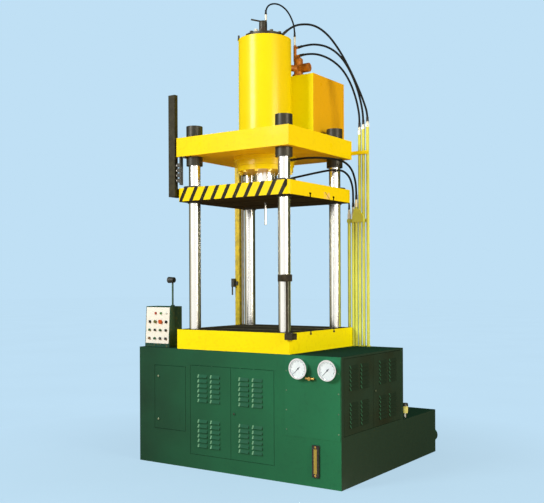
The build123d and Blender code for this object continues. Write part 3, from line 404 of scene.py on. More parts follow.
@dataclass(frozen=True)
class Enamel(Finish):
    """Sprayed enamel with orange peel, faint clouding and shop dust.

    Its right, top and under faces can take colours of painted light and shade, painted shade can
    darken it toward the left of the press, and louvres can have painted shade on their sloping hoods
    and a painted highlight at their near ends.
    """

    colour: Colour
    shade: Colour
    roughness: float = 0.34
    coat: float = 0.06
    shine: float = 0.10
    coat_roughness: float = 0.20
    dust: Colour = (0.50, 0.33, 0.010)
    dust_share: float = 0.16
    # Colours of painted light and shade for faces that look right, up and down
    right: Colour | None = None
    top: Colour | None = None
    under: Colour | None = None
    # Painted shade along X: its full share at the first place, falling to none at the second
    across: Pair | None = None
    across_shade_share: float = 0.85
    # Painted shade on louvre hoods and a painted highlight at their near ends, with where those ends start
    # and how wide they are
    hood_shade: Colour | None = None
    hood_end_highlight: Colour = (0.15, 0.36, 0.22)
    hood_slope: Pair = (0.04, 0.16)
    end_axis: Axis = Axis.X
    end_starts: tuple[float, ...] = ()
    end_width: float = 0.013
    clouding: Cloud = Cloud(2.2, 4.0, 0.35, 0.68)
    speckle: Cloud = Cloud(34.0, 6.0, 0.52, 0.75)
    gloss: Cloud = Cloud(9.0, 5.0, 0.3, 0.75, -0.07, 0.16)
    peel: Relief = Relief(420.0, 2.0, 0.08, 0.0006)
    swell: Relief = Relief(5.0, 2.0, 0.06, 0.004)

    def hooded(self, shading: Shading, colour: Socket) -> Socket:
        """Paint shade on the louvres' sloping hoods, and paint a highlight on their near ends.

        Args:
            shading: the material.
            colour: the colour below.

        Returns:
            The colour with its hoods.
        """
        slope = shading.between(shading.parts_of(shading.normal)[2], *self.hood_slope)
        colour = shading.mix(slope, colour, self.hood_shade)
        # Painted highlight at the near end of each louvre column
        ends: Socket | float = 0.0
        for start in self.end_starts:
            ends = shading.plus(ends, shading.within(self.end_axis, start, start + self.end_width))
        return shading.mix(shading.times(ends, slope), colour, self.hood_end_highlight)

    def paint(self, shading: Shading) -> Socket:
        """Colour of the enamel with its clouding, painted light and shade, and dust.

        Args:
            shading: the material.

        Returns:
            The colour.
        """
        share = shading.cloud(self.clouding)
        # Painted shade that darkens toward the left, laid over most of the clouding
        if self.across is not None:
            x = shading.parts_of(shading.place)[0]
            along = shading.between(x, *self.across, self.across_shade_share, 0.0)
            share = shading.plus(along, shading.times(share, 1 - self.across_shade_share))
        colour = shading.mix(share, self.colour, self.shade)
        # Painted light and shade on faces that look right, up and down
        sides = ((Axis.X, True, self.right), (Axis.Z, True, self.top), (Axis.Z, False, self.under))
        for axis, positive, painted_light in sides:
            if painted_light is not None:
                colour = shading.mix(shading.facing(axis, positive), colour, painted_light)
        if self.hood_shade is not None:
            colour = self.hooded(shading, colour)
        speckle = shading.times(shading.cloud(self.speckle), self.dust_share)
        return shading.mix(speckle, colour, self.dust)

    def glaze(self, shading: Shading, share: Socket) -> None:
        """Shine and clear coat.

        Args:
            shading: the material.
            share: how much of them each place keeps.
        """
        for name, level in (("Specular_IOR_Level", self.shine), ("Coat_Weight", self.coat)):
            shading.set(**{name: shading.times(share, level)})
        shading.set(Coat_Roughness=self.coat_roughness)

    def dress(self, shading: Shading) -> None:
        """Paint the material, with no shine on dusty top faces.

        Args:
            shading: the material.
        """
        shading.set(Base_Color=self.paint(shading))
        shading.set(Roughness=shading.plus(shading.cloud(self.gloss), self.roughness))
        self.glaze(shading, shading.minus(1.0, shading.facing(Axis.Z)))
        shading.raised(self.peel)
        shading.raised(self.swell)


@dataclass(frozen=True)
class Stripes:
    """Slanted black warning stripes on a front face."""

    black: Colour = (0.012, 0.012, 0.006)
    pitch: float = 0.1133
    share: float = 0.35
    slant: float = 0.55
    phase: float = 39.78
    last: float = 0.552
    front: float = 0.3
    scuffs: Cloud = Cloud(60.0, 6.0, 0.66, 0.76, 1.0, 0.6)

    def over(self, shading: Shading, paint: Socket) -> Socket:
        """Lay the stripes over a colour, on faces that look to the front.

        Args:
            shading: the material.
            paint: the colour below them.

        Returns:
            The striped colour.
        """
        x, _, z = shading.parts_of(shading.place)[:3]
        leaning = shading.minus(x, shading.times(z, self.slant))
        phase = shading.plus(shading.calc(Step.DIVIDE, leaning, self.pitch), self.phase)
        mask = shading.below(shading.calc(Step.FRACTION, phase), self.share)
        limits = (
            shading.above(shading.facing(Axis.Y, False), self.front),
            shading.below(x, self.last),
            shading.cloud(self.scuffs),
        )
        for limit in limits:
            mask = shading.times(mask, limit)
        return shading.mix(mask, paint, self.black)


@dataclass(frozen=True)
class PalePatch:
    """Pale patch on a right face, with one dark line running across it."""

    near: float = 0.030
    far: float = 0.125
    low: float = 2.256
    high: float = 2.312
    # Colour of the pale patch
    thin: Colour = (0.80, 0.56, 0.24)
    ragged: Cloud = Cloud(26.0, 5.0, 0.44, 0.60, 0.0, 0.8)
    dark_line: Colour = (0.20, 0.11, 0.015)
    dark_line_slope: float = -0.75
    dark_line_half: float = 0.0045
    dark_line_share: float = 0.8

    def over(self, shading: Shading, paint: Socket) -> Socket:
        """Lay the pale patch and its dark line over a colour.

        Args:
            shading: the material.
            paint: the colour below them.

        Returns:
            The colour with the patch.
        """
        inside = shading.facing(Axis.X)
        for limit in ((Axis.Y, self.near, self.far), (Axis.Z, self.low, self.high)):
            inside = shading.times(inside, shading.within(*limit))
        paint = shading.mix(shading.times(inside, shading.cloud(self.ragged)), paint, self.thin)
        _, y, z = shading.parts_of(shading.place)[:3]
        along = shading.times(shading.minus(y, self.far), self.dark_line_slope)
        off = shading.calc(Step.ABSOLUTE, shading.minus(shading.minus(z, self.low), along))
        line = shading.times(shading.below(off, self.dark_line_half), self.dark_line_share)
        return shading.mix(shading.times(inside, line), paint, self.dark_line)


@dataclass(frozen=True)
class MachinedFaceEnamel(Enamel):
    """Enamel on the sides of a plate whose working face and T-slots are bare machined metal."""

    metal: Colour = (0.020, 0.020, 0.013)
    ground: Colour = (0.060, 0.058, 0.040)
    face_up: bool = True
    slot_wall: Colour = (0.24, 0.22, 0.12)
    slots_within: float = 0.5
    stripes: Stripes | None = None
    milling: Relief = Relief(3.0, 6.0, 0.06, 0.0006, (0.6, 60.0, 1.0))
    milled: Pair = (0.3, 0.7)
    milled_rougher: float = 0.18

    def dress(self, shading: Shading) -> None:
        """Paint the material, and leave the working face and the T-slots bare.

        Args:
            shading: the material.
        """
        walls = shading.plus(shading.facing(Axis.Y), shading.facing(Axis.Y, False))
        walls = shading.times(walls, shading.within(Axis.Y, -self.slots_within, self.slots_within))
        bare = shading.calc(Step.MAXIMUM, walls, shading.facing(Axis.Z, self.face_up))
        bare = shading.above(bare, 0.5)
        lines = shading.raised(self.milling)
        metal = shading.mix(shading.between(lines, *self.milled), self.metal, self.ground)
        metal = shading.mix(walls, metal, self.slot_wall)
        paint = self.paint(shading)
        if self.stripes is not None:
            paint = PalePatch().over(shading, self.stripes.over(shading, paint))
        shading.set(Base_Color=shading.mix(bare, paint, metal))
        self.glaze(shading, shading.minus(1.0, bare))
        rough = (self.roughness, self.roughness + self.milled_rougher)
        shading.set(Roughness=shading.between(lines, *self.milled, *rough))
        shading.raised(self.peel)


@dataclass(frozen=True)
class Skin:
    """Colours and gloss of one stretch of a node."""

    colour: Colour
    worn: Colour
    metallic: float = 0.0
    roughness: float = 0.4
    glow: float = 0.0


@dataclass(frozen=True)
class Zone:
    """Stretch along one axis of the press with a skin of its own."""

    skin: Skin
    axis: Axis
    start: float = -FAR
    end: float = FAR


@dataclass(frozen=True)
class ZonedFinish(Finish):
    """Finish of a node whose pieces or stretches differ, one zone over the other."""

    base: Skin
    zones: tuple[Zone, ...]
    patches: Cloud = Cloud(26.0, 6.0, 0.40, 0.66)
    marks: Cloud = Cloud(60.0, 4.0, 0.3, 0.7, -0.07, 0.14)
    grain: Relief = Relief(300.0, 4.0, 0.12, 0.0005)

    def dress(self, shading: Shading) -> None:
        """Lay each zone's skin over the base.

        Args:
            shading: the material.
        """
        patches = shading.cloud(self.patches)
        colour = shading.mix(patches, self.base.colour, self.base.worn)
        levels = {name: getattr(self.base, name) for name in ("metallic", "roughness", "glow")}
        for zone in self.zones:
            mask = shading.within(zone.axis, zone.start, zone.end)
            colour = shading.mix(mask, colour, shading.mix(patches, zone.skin.colour, zone.skin.worn))
            for name, level in levels.items():
                rise = shading.minus(getattr(zone.skin, name), level)
                levels[name] = shading.plus(level, shading.times(mask, rise))
        shading.set(Base_Color=colour, Metallic=levels["metallic"])
        shading.set(Roughness=shading.plus(levels["roughness"], shading.cloud(self.marks)))
        shading.set(Emission_Color=colour, Emission_Strength=levels["glow"])
        shading.raised(self.grain)


@dataclass(frozen=True)
class TurnedSteel(Finish):
    """Ground or turned steel with fine rings and an oily film."""

    colour: Colour
    film: Colour
    roughness: float = 0.22
    rings: float = 260.0
    film_share: float = 0.35
    metallic: float = 1.0
    shine: float = 0.3
    ring_waver: float = 0.4
    ring_strength: float = 0.005
    ring_height: float = 0.0002
    streaks: Cloud = Cloud(5.0, 5.0, 0.42, 0.72, stretch=(9.0, 9.0, 0.7))
    gloss: Cloud = Cloud(12.0, 5.0, 0.3, 0.7, -0.03, 0.06)
    grain: Relief = Relief(180.0, 3.0, 0.003, 0.0002)

    def dress(self, shading: Shading) -> None:
        """Turn the metal and oil it.

        Args:
            shading: the material.
        """
        share = shading.times(shading.cloud(self.streaks), self.film_share)
        shading.set(Base_Color=shading.mix(share, self.colour, self.film), Metallic=self.metallic)
        rough = shading.plus(shading.cloud(self.gloss), self.roughness)
        shading.set(Roughness=rough, Specular_IOR_Level=self.shine)
        marks = {"Scale": self.rings, "Distortion": self.ring_waver, "Vector": shading.place}
        rings = shading.add("TexWave", marks, wave_type="BANDS", bands_direction=Axis.Z.name)
        shading.bump(rings.outputs["Fac"], self.ring_strength, self.ring_height)
        shading.raised(self.grain)


@dataclass(frozen=True)
class CastMetal(Finish):
    """Oiled, painted or tarnished metal of small fittings."""

    colour: Colour
    worn: Colour
    roughness: float
    metallic: float = 0.9
    shine: float = 0.15
    patches: Cloud = Cloud(26.0, 6.0, 0.40, 0.66)
    gloss: Cloud = Cloud(60.0, 4.0, 0.3, 0.7, -0.08, 0.15)
    grain: Relief = Relief(260.0, 4.0, 0.12, 0.0005)

    def dress(self, shading: Shading) -> None:
        """Blend the two colours and roughen the surface.

        Args:
            shading: the material.
        """
        colour = shading.mix(shading.cloud(self.patches), self.colour, self.worn)
        rough = shading.plus(shading.cloud(self.gloss), self.roughness)
        shading.set(Base_Color=colour, Roughness=rough)
        shading.set(Metallic=self.metallic, Specular_IOR_Level=self.shine)
        shading.raised(self.grain)


@dataclass(frozen=True)
class Moulded(CastMetal):
    """Moulded plastic or rubber with a fine grain and handling marks."""

    metallic: float = 0.0
    shine: float = 0.25
    patches: Cloud = Cloud(48.0, 5.0, 0.48, 0.74)
    gloss: Cloud = Cloud(90.0, 4.0, 0.3, 0.7, -0.06, 0.12)
    grain: Relief = Relief(700.0, 3.0, 0.14, 0.0003)


@dataclass(frozen=True)
class ClearGlass(Finish):
    """Flat gauge glass with faint smears."""

    tint: Colour = (0.99, 0.99, 0.98)
    smeared: Colour = (0.85, 0.88, 0.86)
    smears: Cloud = Cloud(22.0, 5.0, 0.40, 0.75, 0.02, 0.12)
    bend: float = 1.12

    def dress(self, shading: Shading) -> None:
        """Clear the glass and smear it.

        Args:
            shading: the material.
        """
        smear = shading.cloud(self.smears)
        tint = shading.mix(smear, self.tint, self.smeared)
        shading.set(Base_Color=tint, Roughness=smear, Transmission_Weight=1.0, IOR=self.bend)


@dataclass(frozen=True)
class Louvres:
    """Columns of louvres on a row of doors, by their middles from each door's middle."""

    doors: tuple[str, ...]
    axis: Axis
    columns: tuple[float, ...]
    half: float

    def starts(self) -> tuple[float, ...]:
        """Find where each column starts.

        Returns:
            The starts in metres.
        """
        found: list[float] = []
        for door in self.doors:
            low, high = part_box(door)
            middle = (low[self.axis.value] + high[self.axis.value]) / 2
            found += [middle + column - self.half for column in self.columns]
        return tuple(found)


FRONT_LOUVRES = Louvres(("front_door_left", "front_door_right"), Axis.X, (-0.080, 0.053), 0.049)
SIDE_LOUVRES = Louvres(("side_door_front", "side_door_rear"), Axis.Y, (-0.088, 0.088), 0.065)


@dataclass
class Palette:
    """Every finish of the press, made once and shared."""

    yellow: Colour = (0.90, 0.755, 0.001)
    yellow_shade: Colour = (0.91, 0.70, 0.001)
    # Painted shade for yellow faces that look right
    yellow_right_shade: Colour = (0.88, 0.69, 0.001)
    green: Colour = (0.021, 0.185, 0.088)
    # Darker green of the clouding, also the colour of the painted shade toward the left
    green_shade: Colour = (0.014, 0.046, 0.028)
    # Painted shade for green faces that look right, and the side doors' colour
    green_right_shade: Colour = (0.020, 0.042, 0.027)
    # Painted shade for green faces that look up
    green_top_shade: Colour = (0.016, 0.050, 0.030)
    green_dust: Colour = (0.016, 0.070, 0.050)
    # Where the painted shade toward the left is full and where it ends
    green_shade_span: Pair = (-0.95, 1.0)
    dark: Colour = (0.020, 0.017, 0.010)
    dark_worn: Colour = (0.050, 0.044, 0.026)
    black: Colour = (0.016, 0.018, 0.014)
    black_worn: Colour = (0.032, 0.036, 0.028)
    cream: Colour = (0.86, 0.85, 0.72)
    cream_worn: Colour = (0.66, 0.64, 0.48)
    brass: Colour = (0.50, 0.32, 0.08)
    brass_worn: Colour = (0.26, 0.15, 0.04)
    neck: Colour = (0.62, 0.62, 0.60)
    bowl: Colour = (0.62, 0.66, 0.14)
    bowl_swirl: Colour = (0.80, 0.82, 0.36)
    cap: Colour = (0.02, 0.025, 0.02)
    head_skirt: float = 0.031
    pilot_rise: float = 0.108
    prefill_tag: Pair = (-0.084, -0.0485)
    cock_back: float = -0.45
    conduit_front: float = 0.46
    switch_levers: Pair = (-0.580, -0.568)
    lamp_head: float = 0.062
    green_lamp: Pair = (-0.837, -0.774)
    breather_neck: float = 0.060
    breather_bowl: float = 0.120
    made: dict[str, Material] = field(default_factory=dict)

    def enamels(self) -> list[Finish]:
        """List the painted finishes.

        Returns:
            The enamels.
        """
        yellow = dict(colour=self.yellow, shade=self.yellow_shade, right=self.yellow_right_shade)
        green = dict(
            shade=self.green_shade,
            dust=self.green_dust,
            right=self.green_right_shade,
            top=self.green_top_shade,
            across=self.green_shade_span,
            shine=0.06,
            coat=0.0,
        )
        # Side doors: dust, painted shade on louvre hoods and a painted highlight at their near ends
        side = dict(dust=(0.022, 0.036, 0.022), hood_shade=(0.015, 0.030, 0.018), hood_end_highlight=(0.032, 0.110, 0.062))
        slide = dict(face_up=False, slot_wall=self.dark, stripes=Stripes())
        # Tank front painted lighter than the yellow, as painted light where the cylinder shades it
        tank = ((1.0, 0.95, 0.001), (1.0, 0.88, 0.001))
        # Bolster front painted lighter and greener than the yellow, as painted light
        bolster = ((0.89, 0.83, 0.001), (0.90, 0.77, 0.001))
        console = ((0.016, 0.075, 0.054), (0.014, 0.066, 0.044), 0.4, 0.0)
        cream = ((0.87, 0.92, 0.90), (0.82, 0.86, 0.80), 0.42)
        return [
            # Painted shade on the under faces of the crown and gland flange
            Enamel("yellow_enamel", under=(0.80, 0.52, 0.006), **yellow),
            Enamel("cylinder_enamel", coat=0.34, coat_roughness=0.24, dust_share=0.06, **yellow),
            # Painted shade on the tank's right faces
            Enamel("tank_lit_and_shaded_enamel", *tank, right=(0.80, 0.44, 0.004), dust_share=0.08),
            # Painted light on the bolster's right faces
            MachinedFaceEnamel("bolster_lit_finish", *bolster, right=(1.0, 0.86, 0.001)),
            MachinedFaceEnamel("slide_finish", **yellow, **slide),
            Enamel("green_enamel", self.green, roughness=0.42, **green),
            Enamel(
                "door_enamel",
                (0.022, 0.190, 0.092),
                roughness=0.40,
                # Painted shade on the louvre hoods; their near ends take the default painted highlight
                hood_shade=(0.016, 0.105, 0.058),
                end_starts=FRONT_LOUVRES.starts(),
                **green,
            ),
            # Side doors take a painted-shade copy of the green, the same as the green's right faces
            Enamel(
                "side_shaded_enamel",
                self.green_right_shade,
                (0.018, 0.026, 0.014),
                roughness=0.45,
                coat=0.0,
                shine=0.06,
                end_axis=Axis.Y,
                end_starts=SIDE_LOUVRES.starts(),
                **side,
            ),
            # Painted light on the console's right faces
            Enamel("console_enamel", *console, right=(0.045, 0.098, 0.050)),
            Enamel("pipe_enamel", (0.74, 0.80, 0.14), (0.60, 0.64, 0.09), dust=(0.34, 0.36, 0.06)),
            Enamel("cream_enamel", *cream, dust=(0.66, 0.68, 0.54), dust_share=0.10),
        ]

    def metals(self) -> list[Finish]:
        """List the bare, turned and cast metals.

        Returns:
            The metals.
        """
        steel = ((0.93, 0.92, 0.88), (0.78, 0.75, 0.62))
        nut = ((0.026, 0.026, 0.019), (0.070, 0.066, 0.048))
        return [
            TurnedSteel("column_steel", *steel, 0.17, film_share=0.22),
            TurnedSteel("ram_steel", *steel, 0.14, film_share=0.22),
            TurnedSteel("nut_steel", *nut, 0.40, 90.0, 0.6, 0.25),
            TurnedSteel("gauge_chrome", (0.80, 0.80, 0.80), (0.66, 0.66, 0.66), 0.12, 400.0, 0.2),
            CastMetal("old_brass", self.brass, self.brass_worn, 0.36),
            CastMetal("valve_bronze", (0.56, 0.20, 0.022), (0.26, 0.085, 0.014), 0.44, 0.2, 0.3),
            CastMetal("lock_zinc", (0.30, 0.36, 0.24), (0.18, 0.22, 0.14), 0.28, 0.7),
            CastMetal("screw_green", (0.14, 0.24, 0.15), (0.08, 0.16, 0.10), 0.40, 0.4),
            CastMetal("stop_iron", self.dark, self.dark_worn, 0.46, 0.0),
            CastMetal("bar_olive", (0.024, 0.022, 0.010), (0.040, 0.038, 0.018), 0.46, 0.0),
        ]

    def zoned(self) -> list[Finish]:
        """List the finishes of nodes that are made of unlike pieces.

        Returns:
            The zoned finishes.
        """
        crown_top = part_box("crown")[1][2]
        skirt_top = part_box("cylinder_head")[0][2] + self.head_skirt
        lamp_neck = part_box("work_lamp")[1][2] - self.lamp_head
        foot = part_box("breather")[0][2]
        yellow = (self.yellow, self.yellow_shade)
        dark = (self.dark, self.dark_worn)
        white = (self.cream, self.cream_worn)
        black = (self.black, self.black_worn)
        prefill = Skin((0.030, 0.020, 0.012), (0.075, 0.050, 0.026), 0.4)
        post = Skin((0.72, 0.56, 0.008), (0.46, 0.36, 0.010))
        conduit = Skin((0.78, 0.77, 0.62), (0.58, 0.56, 0.40))
        lever = Skin((0.74, 0.76, 0.74), (0.52, 0.54, 0.52), 0.3, 0.3)
        lamp_stem = Skin((0.020, 0.070, 0.036), (0.032, 0.095, 0.050), roughness=0.42)
        red_lens = Skin((0.42, 0.06, 0.02), (0.26, 0.03, 0.012), 0.0, 0.2, 0.06)
        green_lens = Skin((0.06, 0.19, 0.04), (0.03, 0.12, 0.03), 0.0, 0.2, 0.05)
        bezel = Skin((0.70, 0.70, 0.66), (0.50, 0.50, 0.46), 0.9, 0.25)
        neck = Skin(self.neck, self.neck, 1.0, 0.28)
        brass = Skin(self.brass, self.brass_worn, 0.9, 0.32)
        above_skirt = Zone(Skin(*dark, 0.3), Axis.Z, skirt_top)
        tag = Zone(Skin(*white), Axis.X, *self.prefill_tag)
        pilot = Zone(Skin(*dark, 0.3), Axis.Z, skirt_top + self.pilot_rise)
        lamps = (Zone(green_lens, Axis.X, *self.green_lamp), Zone(bezel, Axis.X, self.green_lamp[1]))
        above_crown = Zone(Skin(*dark, 0.4), Axis.Z, crown_top)
        cock = Zone(brass, Axis.Y, end=self.cock_back)
        levers = Zone(lever, Axis.X, *self.switch_levers)
        bowl = Zone(Skin(self.bowl, self.bowl_swirl, 0.0, 0.28), Axis.Z, foot + self.breather_neck)
        cap = Zone(Skin(self.cap, self.cap, 0.0, 0.28), Axis.Z, foot + self.breather_bowl)
        swirl = Cloud(60.0, 4.0, 0.35, 0.65)
        smears = Cloud(80.0, 3.0, 0.3, 0.7, -0.08, 0.08)
        breather_grain = Relief(300.0, 2.0, 0.1, 0.0005)
        return [
            ZonedFinish("head_bolts", Skin(*yellow, roughness=0.3), (above_crown,)),
            ZonedFinish("head_finish", Skin(*yellow), (above_skirt,)),
            ZonedFinish("prefill_finish", prefill, (tag, pilot)),
            ZonedFinish("fitting_finish", Skin(*white, 0.1, 0.34), (cock,)),
            ZonedFinish("post_finish", post, (Zone(conduit, Axis.Y, self.conduit_front),)),
            ZonedFinish("switch_finish", Skin(*black, roughness=0.46), (levers,)),
            ZonedFinish("work_lamp_finish", lamp_stem, (Zone(Skin(*black), Axis.Z, lamp_neck),)),
            ZonedFinish("lamp_finish", red_lens, lamps),
            ZonedFinish("breather_finish", neck, (bowl, cap), swirl, smears, breather_grain),
        ]

    def plastics(self) -> list[Finish]:
        """List the finishes of moulded parts, rubber, dials and glass.

        Returns:
            The finishes.
        """
        hose_grain = Relief(520.0, 3.0, 0.14, 0.0006)
        dial_grain = Relief(900.0, 3.0, 0.14, 0.0001)
        rubber = dict(shine=0.12, grain=hose_grain)
        return [
            Moulded("hose_rubber", (0.006, 0.007, 0.007), (0.015, 0.016, 0.015), 0.46, **rubber),
            Moulded("black_plastic", (0.018, 0.018, 0.018), (0.05, 0.05, 0.048), 0.40),
            Moulded("green_button", (0.018, 0.085, 0.034), (0.04, 0.14, 0.06), 0.28),
            Moulded("black_button", (0.02, 0.022, 0.02), (0.05, 0.05, 0.05), 0.28),
            Moulded("brown_button", (0.16, 0.09, 0.035), (0.22, 0.13, 0.06), 0.30),
            Moulded("olive_button", (0.10, 0.12, 0.03), (0.16, 0.17, 0.05), 0.30),
            Moulded("mushroom_red", (0.52, 0.085, 0.012), (0.60, 0.16, 0.03), 0.25),
            Moulded("dial_white", (0.96, 0.95, 0.92), (0.92, 0.91, 0.87), 0.50, grain=dial_grain),
            Moulded("dial_ink", (0.03, 0.03, 0.03), (0.08, 0.08, 0.08), 0.50, grain=dial_grain),
            Moulded("sight_oil", (0.34, 0.28, 0.05), (0.40, 0.33, 0.07), 0.20),
            ClearGlass("gauge_glass"),
        ]

    def mix_all(self) -> None:
        """Make every material."""
        for finish in self.enamels() + self.metals() + self.zoned() + self.plastics():
            self.made[finish.name] = finish.build()

    def __getitem__(self, name: str) -> Material:
        """One material by its finish's name."""
        return self.made[name]


# Mesh building


def placed(name: str, data: bpy.types.ID) -> bpy.types.Object:
    """Put a new object into the scene.

    Args:
        name: its plain name.
        data: its mesh, curve, lamp or camera.

    Returns:
        The object.
    """
    piece = bpy.data.objects.new(name, data)
    bpy.context.scene.collection.objects.link(piece)
    return piece


class Shape:
    """One mesh piece, built face by face."""

    def __init__(self, name: str) -> None:
        """Start an empty mesh.

        Args:
            name: the piece's plain name.
        """
        self.name = name
        self.mesh = bmesh.new()

    def block(self, low: Point | Vector, high: Point | Vector, turn: Matrix | None = None) -> None:
        """Add a box between two corners.

        Args:
            low: its lowest corner.
            high: its highest corner.
            turn: a matrix that places it, where it is not square to the press.
        """
        corners = [Vector(corner) for corner in itertools.product(*zip(low, high))]
        if turn is not None:
            corners = [turn @ corner for corner in corners]
        verts = [self.mesh.verts.new(corner) for corner in corners]
        for face in ((0, 1, 3, 2), (4, 6, 7, 5), (0, 4, 5, 1), (2, 3, 7, 6), (0, 2, 6, 4), (1, 5, 7, 3)):
            self.mesh.faces.new([verts[index] for index in face])

    def ring(self, centre: Vector, first: Vector, second: Vector, sides: int) -> list[Vert]:
        """Add the points of one ring.

        Args:
            centre: its middle.
            first: from the middle to its first point.
            second: from the middle to the point a quarter turn on.
            sides: how many points it has.

        Returns:
            The points, or only the middle where the ring has no radius.
        """
        if not first.length:
            return [self.mesh.verts.new(centre)]
        turns = [2 * math.pi * index / sides for index in range(sides)]
        around = [first * math.cos(turn) + second * math.sin(turn) for turn in turns]
        return [self.mesh.verts.new(centre + offset) for offset in around]

    def skin(self, rings: Sequence[list[Vert]], sides: int) -> None:
        """Close the faces between rings.

        Args:
            rings: the rings in order; one of a single point is a tip.
            sides: how many faces go round.
        """
        for low, high in zip(rings, rings[1:]):
            for index in range(sides):
                pairs = ((low, index), (low, index + 1), (high, index + 1), (high, index))
                corners = [ring[number % len(ring)] for ring, number in pairs]
                self.mesh.faces.new(list(dict.fromkeys(corners)))

    def turned(self, outline: Sequence[Pair], origin: Vector, along: Vector, sides: int) -> None:
        """Add a solid of revolution.

        Args:
            outline: (radius, distance) points; a radius of 0 closes an end.
            origin: where distances start.
            along: direction of the axis.
            sides: how many flats go round.
        """
        first, second, way = along.normalized().to_track_quat("Z", "Y").to_matrix().col
        rings = [
            self.ring(origin + distance * way, radius * first, radius * second, sides)
            for radius, distance in outline
        ]
        self.skin(rings, sides)

    def swept(self, path: Sequence[Vector], radius: float, sides: int) -> None:
        """Add a round tube along a path.

        Args:
            path: the points of its centre line.
            radius: its radius.
            sides: how many flats go round.
        """
        rings = []
        side = (path[1] - path[0]).orthogonal()
        for index, point in enumerate(path):
            way = path[min(index + 1, len(path) - 1)] - path[max(index - 1, 0)]
            way.normalize()
            side = (side - way * side.dot(way)).normalized()
            rings.append(self.ring(point, radius * side, radius * way.cross(side), sides))
        self.skin(rings, sides)
        self.mesh.faces.new(list(reversed(rings[0])))
        self.mesh.faces.new(rings[-1])

    def finish(self, body: Body, material: Material, slot: Slot) -> bpy.types.Object:
        """Turn the mesh into an object that rides on a body.

        Args:
            body: the body that carries it.
            material: its finish.
            slot: the record's finish that it names; not used.

        Returns:
            The object.
        """
        bmesh.ops.recalc_face_normals(self.mesh, faces=self.mesh.faces)
        for face in self.mesh.faces:
            face.smooth = True
        for edge in self.mesh.edges:
            if len(edge.link_faces) == 2 and edge.calc_face_angle(0.0) > math.radians(SHARP_ANGLE):
                edge.smooth = False
        data = bpy.data.meshes.new(self.name)
        self.mesh.to_mesh(data)
        self.mesh.free()
        piece = placed(self.name, data)
        piece.data.materials.append(material)
        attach(piece, body.value)
        LOG.info("%s rides on %s", piece.name, body.value)
        return piece


# Stage


@dataclass(frozen=True)
class Lamp:
    """Soft square lamp that points at the press."""

    name: str
    place: Point
    target: Point
    size: float
    power: float
    colour: Colour

    def build(self) -> None:
        """Hang the lamp."""
        data = bpy.data.lights.new(self.name, "AREA")
        data.size = self.size
        data.energy = self.power
        data.color = self.colour
        lamp = placed(self.name, data)
        lamp.location = self.place
        lamp.rotation_mode = "QUATERNION"
        way = Vector(self.target) - Vector(self.place)
        lamp.rotation_quaternion = way.to_track_quat("-Z", "Y")


